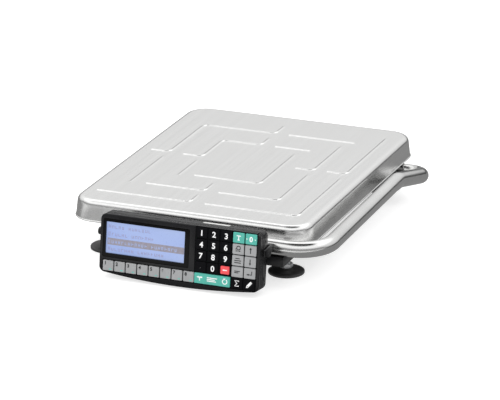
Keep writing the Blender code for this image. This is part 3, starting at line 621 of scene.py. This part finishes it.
def thread_profile(radius, start, end, pitch=1.5, depth=0.75):
    """Zigzag of a screw thread between two heights, in millimetres, closed on the axis."""
    rows = [(0.0, start), (radius - depth, start), (radius - 0.1, start + 0.6)]
    height = start + 0.8
    while height + pitch < end - 0.8:
        rows += [(radius, height), (radius - depth, height + pitch / 2)]
        height += pitch
    return rows + [(radius, height), (radius - 0.1, end - 0.6), (radius - depth, end), (0.0, end)]


def hexagon(flats, depth):
    """A six-sided bar along Z, by its width across flats."""
    bm = bmesh.new()
    reach = flats / 2 / math.cos(math.radians(30))
    bmesh.ops.create_cone(bm, cap_ends=True, segments=6, radius1=reach, radius2=reach, depth=depth)
    bmesh.ops.translate(bm, vec=(0, 0, depth / 2), verts=bm.verts)
    return finished_mesh(bm)


def foot(name):
    pad_low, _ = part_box(f"foot_pad_{name}")
    centre = middle(f"foot_pad_{name}")
    place = Matrix.Translation((centre.x, centre.y, pad_low.z))
    piece(f"levelling_foot_{name}", turned(in_mm(FOOT_PROFILE), 64), FOOT_BLACK, f"foot_{name}",
          (f"foot_pad_{name}",), place, angle=30)
    thread = in_mm(thread_profile(STUD_RADIUS, STUD_FOOT, STUD_TOP))
    piece(f"threaded_stud_{name}", turned(thread, 32), ZINC, f"stud_{name}", (f"foot_stud_{name}",),
          place, angle=20)
    end, side, slope = 7.0 * MM, 8.4 * MM, 0.9 * MM
    chamfer = [(0.0, NUT_FOOT), (end, NUT_FOOT), (side, NUT_FOOT + slope), (side, NUT_TOP - slope),
               (end, NUT_TOP), (0.0, NUT_TOP)]
    nut = piece(f"lock_nut_{name}", turned(chamfer, 48), ZINC, f"stud_{name}", (), place, angle=20)
    apply_cuts(nut, [cutter(hexagon(NUT_FLATS, 20 * MM), place)], 'INTERSECT', angle=20)


# ---- small hardware ----
def aim(point, direction):
    """Places something modelled along +Z at a point, pointing in a direction."""
    return Matrix.Translation(point) @ Vector(direction).to_track_quat('Z', 'Y').to_matrix().to_4x4()


BOLT_ACROSS, BOLT_HEIGHT = 10 * MM, 4 * MM


def six_sided(turn):
    return math.cos(math.tau / 12) / math.cos(turn % (math.tau / 6) - math.tau / 12)


# shares of the head's reach and height from the washer up, outline
BOLT_ROWS = ((1.3, 0.0, even), (1.3, 0.2, even), (1.05, 0.25, even), (0.95, 0.25, six_sided),
             (1.0, 0.36, six_sided), (1.0, 0.85, six_sided), (0.84, 1.0, six_sided))


def hex_bolt(name, point, direction, body):
    """Hexagon head with a washer, standing on a point."""
    reach = BOLT_ACROSS / 2 / math.cos(math.radians(30))
    rings = [circle(reach * wide, BOLT_HEIGHT * high, 24, shape) for wide, high, shape in BOLT_ROWS]
    piece(name, loft(rings), ZINC, body, (), aim(point, direction), angle=25)


def cross_screw(name, point, direction, radius, body):
    """Pan-head screw with a cross recess."""
    rows = [(0.0, 0.0), (radius, 0.0), (radius, radius * 0.18), (radius * 0.88, radius * 0.42),
            (radius * 0.6, radius * 0.58), (radius * 0.3, radius * 0.64), (0.0, radius * 0.66)]
    place = aim(point, direction)
    head = piece(name, turned(rows, 32), ZINC, body, (), place)
    tools = []
    for long, wide in ((1.1, 0.24), (0.24, 1.1)):
        bm = bmesh.new()
        add_block(bm, (long * radius, wide * radius, radius * 0.8), (0, 0, radius * 0.66))
        tools.append(cutter(finished_mesh(bm), place))
    apply_cuts(head, tools)


# ---- terminal ----
def housing_outline(inset, bow):
    """The terminal's outline: round corners, straight top, bottom bowed downwards."""
    half = HOUSING_HALF - inset
    top = HOUSING_TOP - inset
    side_bottom = HOUSING_SIDE_BOTTOM + inset
    radius = HOUSING_CORNER - inset
    points = []
    for quarter, side, level in ((0, 1, top - radius), (1, -1, top - radius), (2, -1, side_bottom + radius),
                                 (3, 1, side_bottom + radius)):
        points += corner_arc(side * (half - radius), level, radius, quarter, 8)
        if quarter == 2:
            bow_half = half - radius
            for step in range(1, 16):
                across = -bow_half + 2 * bow_half * step / 16
                points.append((across, side_bottom - bow * (1 - (across / bow_half) ** 2)))
    return points


def housing_loft(rows, bow):
    """A solid through the outline at (inset, depth) rows, in millimetres, front first."""
    return loft([[(x, y, -depth * MM) for x, y in housing_outline(inset * MM, bow)] for inset, depth in rows])


# (inset, depth) in millimetres
GROOVE = ((0.0, 0.0), (0.1, 0.27), (0.32, 0.43), (0.8, 0.49), (0.8, 1.41), (0.32, 1.47), (0.1, 1.63),
          (0.0, 1.9))
GROOVE_DEPTHS = (4.35, 8.95)
FRONT_ROWS = ((1.7, 0.0), (1.1, 0.08), (0.6, 0.3), (0.25, 0.65), (0.06, 1.15), (0.0, 1.7),
              *((inset, start + depth) for start in GROOVE_DEPTHS for inset, depth in GROOVE), (0.0, 11.5))
FRONT_HOLLOW = ((2.5, 2.5), (2.5, 20.0))
REAR_ROWS = ((0.5, 11.8), (0.1, 11.9), (0.0, 12.2), (0.0, 22.9), (0.2, 24.2), (0.8, 25.3), (1.8, 26.1),
             (3.4, 26.5))
REAR_HOLLOW = ((2.5, 5.0), (2.5, 24.0))
REAR_FACE = -26.5 * MM
SCREW_SEAT = -26.3 * MM
CASE_SCREWS = ((-94, 27), (94, 27), (-94, -28), (94, -28))
SLOT, SLOT_LEVELS, SLOT_DEPTH = (-1.1, 1.1, -2.4, 2.4), (-22.0, 24.0), -15.5 * MM
VENT, VENT_COUNT, VENT_PITCH = (-16, 16, -0.7, 0.7), 6, 3.2
SOCKET_RADIUS, SOCKET_REACH = 2.9 * MM, 8 * MM
INLET_RADIUS, INLET_REACH = 5.5 * MM, 9 * MM
THROUGH = ((0.0, 3.0), (0.0, -3.0))
FILM = ((0.0, 0.0), (0.0, 0.12), (0.1, 0.18))


def front_case():
    base = face_place(0, 0)
    case = piece("terminal_front_case", housing_loft(FRONT_ROWS, FRONT_BOW), HOUSING_BLACK, "terminal",
                 ("front_housing",), base)
    seat, view, hole = ((-0.3, 2.0), (-0.3, -1.8)), ((0.0, 2.0), (0.0, -6.0)), ((-0.3, 2.0), (-0.3, -6.0))
    openings = ((WINDOW, seat, 1.5), (LCD_VIEW, view, 0.8), (KEYPAD, hole, 0.4), (STRIP, hole, 0.4))
    tools = [cutter(housing_loft(FRONT_HOLLOW, FRONT_BOW), base)]
    tools += [cutter(plate(area, rows, corner), base) for area, rows, corner in openings]
    apply_cuts(case, tools)


def rear_case():
    """The back shell with its pivot sockets, side slots, inlet mouth and vents."""
    base = face_place(0, 0)
    case = piece("terminal_rear_case", housing_loft(REAR_ROWS, REAR_BOW), HOUSING_BLACK, "terminal",
                 ("rear_housing",), base)
    tools = [cutter(housing_loft(REAR_HOLLOW, REAR_BOW), base)]
    turned_out = Matrix.Rotation(math.pi / 2, 4, 'Y')
    for side in (-1, 1):
        spot = PIVOT + FACE_ACROSS * side * HOUSING_HALF
        tools.append(cutter(rod(SOCKET_RADIUS, -SOCKET_REACH, SOCKET_REACH, 24), aim(spot, FACE_ACROSS)))
        for up in SLOT_LEVELS:
            place = face_place(side * HOUSING_HALF, up * MM, SLOT_DEPTH) @ turned_out
            tools.append(cutter(plate(SLOT, THROUGH, 0.5), place))
    inlet = middle("power_inlet") - FACE_UP * 5 * MM
    tools.append(cutter(rod(INLET_RADIUS, -INLET_REACH, INLET_REACH, 40), aim(inlet, FACE_UP)))
    for row in range(VENT_COUNT):
        place = face_place(-50 * MM, (6 - VENT_PITCH * row) * MM, REAR_FACE)
        tools.append(cutter(plate(VENT, THROUGH, 0.6), place))
    apply_cuts(case, tools)


def case_details():
    """Screws at the back, and the blank labels at the back and on the top."""
    for index, (across, up) in enumerate(CASE_SCREWS):
        spot = face_place(across * MM, up * MM, SCREW_SEAT).translation
        cross_screw(f"case_screw_{index + 1}", spot, -FACE_OUT, 2.6 * MM, "terminal")
    on_rear = face_place(44 * MM, 4 * MM, REAR_FACE) @ Matrix.Rotation(math.pi, 4, 'Y')
    label = plate((-26, 26, -14, 14), FILM, 2.0)
    piece("rear_blank_label", label, LABEL, "terminal", (), on_rear)
    on_top = face_place(39 * MM, HOUSING_TOP, -20.2 * MM) @ Matrix.Rotation(-math.pi / 2, 4, 'X')
    strip = plate((-17, 17, -2.7, 2.7), FILM, 0.8)
    piece("top_blank_strip", strip, LABEL, "terminal", (), on_top)


def window_and_display():
    base = face_place(0, 0)
    bezel = plate(WINDOW, ((0.0, -1.5), (0.0, -0.45), (0.25, -0.2)), 1.5)
    border = piece("display_bezel", bezel, PRINT_BLACK, "terminal", ("display_window",), base)
    apply_cuts(border, [cutter(plate(LCD_VIEW, ((0.0, 2.0), (0.0, -4.0)), 0.8), base)])
    panel = plate(LCD_VIEW, ((-1.6, -8.4), (-1.6, -3.2), (-1.2, -2.8)), 1.0)
    piece("display_panel", panel, LCD, "terminal", ("lcd_module",), base)
    display_marks(face_place(0, 0, -2.8 * MM))


# Rows of blocks in place of words, in millimetres: each row's top, and how many blocks its two words have.
MARK_ROWS = ((23.6, (5, 7)), (14.6, (6, 7)), (5.2, (12, 8)), (-3.8, (8, 8)))
BRIGHT_ROW = 2
MARK_INDENT, MARK_DROP, MARK_PITCH = 2.6, 5.6, 4.35
MARK_CAPITAL, MARK_SMALL, MARK_STROKE = 4.9, 3.5, 0.62
MARK_WIDTHS = (2.3, 2.7, 2.9)


def display_marks(glass):
    """Small blocks on the panel, dark, and light on the one row that is highlighted by a bar."""
    left, right = LCD_VIEW[:2]
    bar_top = MARK_ROWS[BRIGHT_ROW][0]
    bar = plate((left + 1.6, right - 1.2, bar_top - 7.4, bar_top + 0.9), ((0.0, 0.0), (0.0, 0.03)), 0.2)
    piece("display_highlight", bar, LCD_BAR, "terminal", (), glass)
    shuffle = random.Random(5)
    dark, bright = bmesh.new(), bmesh.new()
    for row, (line_top, (first, second)) in enumerate(MARK_ROWS):
        low = line_top - MARK_DROP
        for cell in (*range(first), *range(first + 1, first + 1 + second)):
            high = low + (MARK_CAPITAL if cell == 0 else MARK_SMALL)
            start = left + MARK_INDENT + cell * MARK_PITCH
            stop = start + shuffle.choice(MARK_WIDTHS)
            bottom = low + (high - low - MARK_STROKE) * shuffle.choice((0.0, 0.5, 1.0))
            areas = [(start, start + MARK_STROKE, low, high), (start, stop, bottom, bottom + MARK_STROKE)]
            if shuffle.random() < 0.75:
                areas.append((stop - MARK_STROKE, stop, low, high))
            for area in areas:
                if area[1] <= right - 1.5:
                    add_tick(bright if row == BRIGHT_ROW else dark, area)
    piece("display_marks", finished_mesh(dark), LCD_INK, "terminal", (), glass)
    piece("display_marks_bright", finished_mesh(bright), LCD, "terminal", (), glass)


def add_tick(bm, area):
    """A thin raised rectangle over a left, right, bottom, top area in millimetres."""
    left, right, bottom, top = [value * MM for value in area]
    centre = ((left + right) / 2, (bottom + top) / 2, 0.035 * MM)
    add_block(bm, (right - left, top - bottom, 0.06 * MM), centre)


# ---- keys and their marks ----
def key_top(key_name, across=0.0, up=0.0):
    """A place on a key's top, in millimetres from its middle, with the face's axes."""
    spot = middle(key_name) + FACE_OUT * KEY_HALF_THICKNESS + FACE_ACROSS * across * MM + FACE_UP * up * MM
    return Matrix.Translation(spot) @ FACE_TURN


def key_cap(key_name, material):
    low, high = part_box(key_name)
    half_x = (high.x - low.x) / 2
    depth = 2 * KEY_HALF_THICKNESS
    half_y = ((high.z - low.z) - depth * math.sin(FACE_LEAN)) / math.cos(FACE_LEAN) / 2
    rows = ((0.0, -depth), (0.0, -0.75 * MM), (0.05 * MM, -0.45 * MM), (0.22 * MM, -0.17 * MM),
            (0.5 * MM, -0.03 * MM), (0.9 * MM, 0.0))
    rings = []
    for inset, out in rows:
        outline = rounded_rectangle(half_x - inset, half_y - inset, max(1.1 * MM - inset, 0.2 * MM), 5)
        rings.append([(x, y, out) for x, y in outline])
    piece(f"{key_name}_cap", loft(rings), material, key_name, (key_name,), key_top(key_name))


def curve_mesh(curve):
    """The mesh of a curve or text, with its caps welded on."""
    guide = linked("guide", curve)
    mesh = evaluated_mesh(guide)
    bpy.data.objects.remove(guide, do_unlink=True)
    bm = bmesh.new()
    bm.from_mesh(mesh)
    bmesh.ops.remove_doubles(bm, verts=bm.verts, dist=0.000002)
    return finished_mesh(bm)


def digit(key_name, text, size, across, up, ink, weight=0.035):
    """A raised printed digit. The size is its height in millimetres."""
    name = f"{key_name}_mark_{text}"
    curve = bpy.data.curves.new(name, 'FONT')
    curve.body = text
    curve.size = size * MM / 0.73
    curve.offset = size * MM * weight
    curve.extrude = 0.03 * MM
    curve.resolution_u = 6
    mesh = curve_mesh(curve)
    box_x = [vert.co.x for vert in mesh.vertices]
    box_y = [vert.co.y for vert in mesh.vertices]
    shift = (-(min(box_x) + max(box_x)) / 2, -(min(box_y) + max(box_y)) / 2, 0.02 * MM)
    mesh.transform(Matrix.Translation(shift))
    piece(name, mesh, ink, key_name, (), key_top(key_name, across, up))


def inked(key_name, lines, width, ink, label="icon"):
    """Raised printed strokes. Each line is points of (across, up[, share of the width]) in mm."""
    name = f"{key_name}_{label}"
    curve = bpy.data.curves.new(name, 'CURVE')
    curve.dimensions = '3D'
    curve.bevel_depth = width * MM / 2
    curve.bevel_resolution = 3
    curve.use_fill_caps = True
    for line in lines:
        spline = curve.splines.new('POLY')
        closed = len(line) > 2 and line[0][:2] == line[-1][:2]
        kept = line[:-1] if closed else line
        spline.points.add(len(kept) - 1)
        spline.use_cyclic_u = closed
        for point, entry in zip(spline.points, kept):
            point.co = (entry[0] * MM, entry[1] * MM, 0.0, 1.0)
            point.radius = entry[2] if len(entry) > 2 else 1.0
    mesh = curve_mesh(curve)
    mesh.transform(Matrix.Diagonal((1.0, 1.0, 0.12, 1.0)))
    piece(name, mesh, ink, key_name, (), key_top(key_name), angle=60)


def arc_points(centre, radius, start, end, steps=14):
    points = []
    for step in range(steps + 1):
        turn = math.radians(start + (end - start) * step / steps)
        points.append((centre[0] + radius * math.cos(turn), centre[1] + radius * math.sin(turn)))
    return points


def arrow_head(base, tip, wide):
    """A filled arrow head as one tapering stroke."""
    return ((*base, wide), (*tip, 0.06))


ICONS = {
    "tare_key": (((-2.7, 2.4), (2.7, 2.4)), ((0.0, 2.4), (0.0, -2.6)), ((-1.3, -2.6), (1.3, -2.6))),
    "stack_key": (tuple(arc_points((0.4, 1.6), 2.3, 0, 360)), ((-3.6, -0.2), (-1.4, 0.6)),
                  ((-3.2, -2.2), (-0.6, -2.2)), ((0.4, -2.2), (3.0, -2.2))),
    "up_key": (((0.0, -3.6), (0.0, 2.2)), arrow_head((0.0, 1.2), (0.0, 4.2), 2.6)),
    "net_gross_key": (((-3.0, 2.6), (2.6, 2.6)), ((-4.2, 0.0), (4.2, 0.0)), ((-4.2, -2.6), (4.2, -2.6))),
    "down_key": (((0.0, 3.6), (0.0, -2.2)), arrow_head((0.0, -1.2), (0.0, -4.2), 2.6)),
    "lookup_key": (((-3.6, 0.9), (3.6, 0.9)), ((-3.6, -0.9), (1.6, -0.9))),
    "enter_key": (((2.8, 3.0), (2.8, -1.4), (-1.6, -1.4)), arrow_head((-1.0, -1.4), (-4.0, -1.4), 2.4)),
    "total_key": (((2.5, 2.4), (2.4, 3.3), (-2.3, 3.3), (0.5, 0.0), (-2.3, -3.3), (2.4, -3.3), (2.6, -2.4)),),
    "edit_key": (((-3.2, -3.6), (-2.6, -1.5), (2.0, 3.9), (3.5, 2.6), (-1.1, -2.8), (-3.2, -3.6)),
                 ((-1.6, -1.4), (2.4, 3.1))),
    "menu_key": (((-16.0, -2.8), (-16.0, 1.5)), ((-18.0, 1.5), (-14.0, 1.5)),
                 arrow_head((-17.4, 1.5), (-20.0, 1.5), 2.3), arrow_head((-14.6, 1.5), (-12.0, 1.5), 2.3),
                 tuple(arc_points((16.4, -0.1), 2.9, 60, -235)), arrow_head((14.9, 2.6), (17.6, 3.9), 2.2)),
    "delete_key": (((-1.2, 0.0), (2.9, 0.0)), arrow_head((-0.6, 0.0), (-3.2, 0.0), 1.9)),
}
WHITE_ICONS = ("tare_key", "total_key", "edit_key", "menu_key", "delete_key")
COMMANDS = {"tare_key": "teal", "zero_key": "teal", "menu_key": "teal", "delete_key": "red",
            "total_key": "black", "edit_key": "black"}
ICON_WIDTH = 1.15


def keypad():
    caps = {"grey": (KEY_GREY, "key_grey"), "black": (KEY_BLACK, "key_black"), "teal": (KEY_TEAL, "key_teal"),
            "red": (KEY_RED, "key_red")}
    paint("keypad_overlay", OVERLAY)
    keys = [name for name in NODES if "_key_" in name or name.endswith("_key")]
    for key_name in sorted(keys):
        colour = COMMANDS.get(key_name, "black" if key_name.startswith("number") else "grey")
        material, slot = caps[colour]
        key_cap(key_name, material)
        label = key_name.split("_")[-1]
        if key_name.startswith("number") and label.isdigit():
            digit(key_name, label, 7.0, 0.0, -0.2, INK_WHITE)
        elif key_name.startswith("function"):
            digit(key_name, label, 4.1, -3.5, 2.9, INK_DARK, weight=0.06)
            inked(key_name, (((1.4, -4.2), (4.6, -4.2)),), 1.5, INK_TEAL, "tab")
    inked("number_key_point", (((0.0, -1.2), (0.05, -1.2)),), 1.9, INK_WHITE)
    digit("zero_key", "0", 6.2, 0.0, 0.0, INK_WHITE, weight=0.045)
    inwards = (arrow_head((-6.0, 0.0), (-4.2, 0.0), 1.5), arrow_head((6.0, 0.0), (4.2, 0.0), 1.5))
    inked("zero_key", inwards, 1.0, INK_WHITE)
    for key_name, lines in ICONS.items():
        ink = INK_WHITE if key_name in WHITE_ICONS else INK_DARK
        slot = caps[COMMANDS.get(key_name, "grey")][1]
        inked(key_name, lines, ICON_WIDTH, ink)
    bars = [((-6.6, up), (6.6 - extra, up)) for up, extra in ((2.0, 0.0), (0.0, 3.0), (-2.0, 1.2))]
    inked("menu_key", bars, ICON_WIDTH, INK_WHITE, "bars")


# ---- knobs, level, frames and inside pieces ----
KNOB_SIZE = 4.7 * MM    # the head's radius and its width
KNOB_RIBS = 24
RIB_SHARE = 0.055


def ribbed(turn):
    return 1.0 - RIB_SHARE * (0.5 + 0.5 * math.cos(turn * KNOB_RIBS))


# millimetres outwards, share of the radius, outline
KNOB_ROWS = ((0.0, 0.86, even), (0.3, 0.97, ribbed), (0.8, 1.0, ribbed), (3.7, 1.0, ribbed),
             (4.2, 0.95, ribbed), (4.6, 0.8, even), (4.7, 0.62, even), (4.3, 0.5, even))


def tilt_knob(name, side, body):
    """Knurled knob: a ring of ribs round a dished head."""
    low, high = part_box(name)
    inner = high.x - KNOB_SIZE if side > 0 else low.x + KNOB_SIZE
    rings = [circle(KNOB_SIZE * scale, out * MM, 4 * KNOB_RIBS, shape) for out, scale, shape in KNOB_ROWS]
    place = aim((inner, PIVOT.y, PIVOT.z), (side, 0, 0))
    knob = piece(f"{name}_ribbed", loft(rings), KNOB_BLACK, body, (name,), place)
    apply_cuts(knob, [cutter(rod(2.4 * MM, -9 * MM, 1 * MM, 24), place)], 'UNION', angle=30)


# (radius, height) in millimetres
LEVEL_BODY = ((0, 0), (8.5, 0), (8.5, 4.9), (8.2, 5.3), (7.2, 5.4), (6.9, 5.1), (6.9, 3.0), (0, 3.0))
LEVEL_VIAL = ((0, 3.1), (6.6, 3.1), (6.7, 4.6), (5.2, 5.3), (2.8, 5.75), (0, 5.9))
RING_RADIUS, RING_LEVEL = 2.4 * MM, 5.75 * MM


def level():
    centre = middle("bubble_level")
    base = Matrix.Translation((centre.x, centre.y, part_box("bubble_level")[0].z))
    piece("level_body", turned(in_mm(LEVEL_BODY), 48), ZINC, "base", ("bubble_level",), base)
    piece("level_vial", turned(in_mm(LEVEL_VIAL), 48), VIAL, "base", (), base)
    ring = [Vector(point) for point in circle(RING_RADIUS, RING_LEVEL, 32)]
    mark = swept_tube(ring + ring[:1], 0.16 * MM, 0.05 * MM, 8)
    piece("level_ring", mark, INK_DARK, "base", (), base)


def weld_seam(name, start, end, body, radius):
    """A rippled weld bead between two points."""
    length = (end - start).length
    count = max(int(length / (1.1 * MM)), 3)
    rings = []
    for step in range(count + 1):
        swell = 0.35 if step in (0, count) else 0.86 + 0.14 * (step % 2)
        rings.append(circle(radius * swell, length * (step / count), 10))
    piece(name, loft(rings), BLACK_STEEL, body, (), aim(start, end - start), angle=80)


# from the middle of the pan in millimetres (Z from the floor); the upper bolts are turned round
CELL_BOLTS = ((-8, -55), (8, -55), (-8, -39), (8, -39))
UPPER_PLATE = 5 * MM
# kind, middle, length and radius of a seam, the same at all four corners
WELDS = (("base_weld", (90, 92, 38.2), 22, 1.6), ("tab_weld", (110.4, 168, 24.5), 16, 1.2))


def frames():
    softened("base_frame", "base", BLACK_STEEL, 0.0008)
    softened("load_frame", "upper_frame", BLACK_STEEL, 0.0008)
    softened("load_cell", "base", ALUMINIUM, 0.0004)
    for end in ("outer", "inner"):
        softened(f"stand_bushing_{end}", "base", NYLON, 0.0003)
    plate_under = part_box("base_frame")[0].z
    upper_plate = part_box("load_frame")[0].z + UPPER_PLATE
    for index, (across, along) in enumerate(CELL_BOLTS):
        under = PAN_FOOT + Vector((across * MM, along * MM, plate_under))
        hex_bolt(f"cell_bolt_lower_{index + 1}", under, (0, 0, -1), "base")
        over = PAN_FOOT + Vector((across * MM, -along * MM, upper_plate))
        hex_bolt(f"cell_bolt_upper_{index + 1}", over, (0, 0, 1), "upper_frame")
    for side_name, side in (("left", -1), ("right", 1)):
        for end_name, end in (("front", -1), ("rear", 1)):
            for kind, (across, along, height), length, radius in WELDS:
                reach = end * along * MM - length / 2 * MM
                start = PAN_FOOT + Vector((side * across * MM, reach, height * MM))
                stop = start + Vector((0, length * MM, 0))
                weld_seam(f"{kind}_{side_name}_{end_name}", start, stop, "base", radius * MM)


def inside_terminal():
    paint("key_switch_board", BOARD)
    paint("main_board", BOARD)
    softened("battery_pack", "terminal", BATTERY, 0.0006)
    softened("power_inlet", "terminal", KNOB_BLACK, 0.0003)


# ---- studio ----
def look(obj, place, direction):
    """Puts a camera or light at a place, aimed in a direction."""
    obj.location = place
    obj.rotation_mode = 'QUATERNION'
    obj.rotation_quaternion = direction.to_track_quat('-Z', 'Y')


VIEW_AZIMUTH, VIEW_ELEVATION = math.radians(21.62), math.radians(19.41)
VIEW_PLACE = Vector((1.5711, -3.9543, 1.4511))      # from the middle of the pan
VIEW_LENS = 256.2


def camera():
    """The view: 21.6 degrees round to the right and 19.4 above the horizon, from about 4.5 m away."""
    back = Vector((math.sin(VIEW_AZIMUTH) * math.cos(VIEW_ELEVATION),
                   -math.cos(VIEW_AZIMUTH) * math.cos(VIEW_ELEVATION), math.sin(VIEW_ELEVATION)))
    lens = bpy.data.cameras.new("view")
    lens.lens = VIEW_LENS
    lens.sensor_width = 36.0
    lens.clip_end = 60.0
    made = linked("view", lens)
    look(made, PAN_CENTRE + VIEW_PLACE, -back)
    bpy.context.scene.camera = made


# name, place, width and height, power
LIGHTS = (("overhead", (0.0, 0.2, 2.2), (2.2, 2.2), 26), ("front_left", (-2.2, -2.0, 1.5), (1.6, 1.6), 16))


def area_light(name, place, size, power):
    """A rectangle of light aimed at the origin, hidden from reflections."""
    light = bpy.data.lights.new(name, 'AREA')
    light.shape = 'RECTANGLE'
    light.size, light.size_y = size
    light.energy = power
    made = linked(name, light)
    look(made, place, Vector((0, 0, 0)) - Vector(place))
    made.visible_glossy = False


def level_ramp(made, stops):
    """A grey ramp through (position, level) stops."""
    ramp = node(made, "ValToRGB")
    while len(ramp.color_ramp.elements) < len(stops):
        ramp.color_ramp.elements.new(0.5)
    for element, (position, level) in zip(ramp.color_ramp.elements, stops):
        element.position = position
        element.color = (level, level, level, 1.0)
    return ramp


# (sine of the elevation, level)
FRONT_SKY = ((0.0, 0.50), (0.16, 0.50), (0.24, 0.30), (0.36, 0.32), (0.46, 1.0), (0.76, 1.45), (0.90, 1.2),
             (0.95, 0.10))
REAR_SKY = ((0.0, 0.06), (0.11, 0.08), (0.20, 0.80), (0.34, 0.94), (0.60, 1.1), (0.76, 1.9), (0.92, 1.6),
            (0.948, 0.04))


def backdrop_sky(world):
    """White panels before and behind. The dark gaps between and over them draw lines in the metal."""
    place = node(world, "TexCoord")
    split = node(world, "SeparateXYZ")
    wire(place.outputs["Generated"], split.inputs["Vector"])
    turn = node(world, "MapRange", From_Min=-0.12, From_Max=0.12)
    wire(split.outputs["Y"], turn.inputs["Value"])
    both = node(world, "Mix", data_type='RGBA')
    wire(turn.outputs["Result"], both.inputs["Factor"])
    for stops, colour_socket in ((FRONT_SKY, 6), (REAR_SKY, 7)):
        ramp = level_ramp(world, stops)
        wire(split.outputs["Z"], ramp.inputs["Fac"])
        wire(ramp.outputs["Color"], both.inputs[colour_socket])
    wire(both.outputs[2], world.node_tree.nodes["Background"].inputs["Color"])


FLOOR_HALF = 12.0
BAND_REACH = (-1.2, -0.2)       # Y of the ramp's two ends
FLOOR_BAND = ((0.0, 0.08), (0.26, 0.12), (0.40, 1.0), (0.81, 1.05), (0.89, 0.25))


def floor_paper():
    """Matt white paper. Reflections see a bright band of it before the object and dark floor elsewhere."""
    made = plastic("floor_paper", (0.5, 0.5, 0.5), (0.75, 0.9), grain=200.0, bump=0.02, tint=0.01,
                   Emission_Color=(1.0, 1.0, 1.0, 1.0), Emission_Strength=0.7)
    place = node(made, "TexCoord")
    split = node(made, "SeparateXYZ")
    wire(place.outputs["Object"], split.inputs["Vector"])
    along = node(made, "MapRange", From_Min=BAND_REACH[0], From_Max=BAND_REACH[1])
    wire(split.outputs["Y"], along.inputs["Value"])
    grey = level_ramp(made, FLOOR_BAND)
    wire(along.outputs["Result"], grey.inputs["Fac"])
    card = node(made, "Emission", Strength=1.2)
    wire(grey.outputs["Color"], card.inputs["Color"])
    rays = node(made, "LightPath")
    mixed = node(made, "MixShader")
    wire(rays.outputs["Is Glossy Ray"], mixed.inputs["Fac"])
    wire(made.node_tree.nodes["Principled BSDF"].outputs["BSDF"], mixed.inputs[1])
    wire(card.outputs["Emission"], mixed.inputs[2])
    wire(mixed.outputs["Shader"], made.node_tree.nodes["Material Output"].inputs["Surface"])
    return made


def studio():
    bm = bmesh.new()
    bmesh.ops.create_grid(bm, x_segments=2, y_segments=2, size=FLOOR_HALF)
    ground = linked("floor", finished_mesh(bm))
    ground.location.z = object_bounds()[0].z - 0.0001
    ground.data.materials.append(floor_paper())
    ground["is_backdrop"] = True
    world = bpy.data.worlds.new("studio")
    world.use_nodes = True
    bpy.context.scene.world = world
    backdrop_sky(world)
    bpy.context.scene.view_settings.view_transform = 'Standard'
    for name, place, size, power in LIGHTS:
        area_light(name, place, size, power)


weighing_pan()
stand()
for corner in ("front_left", "front_right", "rear_left", "rear_right"):
    foot(corner)
front_case()
rear_case()
case_details()
window_and_display()
keypad()
tilt_knob("tilt_knob_left", -1, "knob_left")
tilt_knob("tilt_knob_right", 1, "knob_right")
level()
frames()
inside_terminal()
camera()
studio()
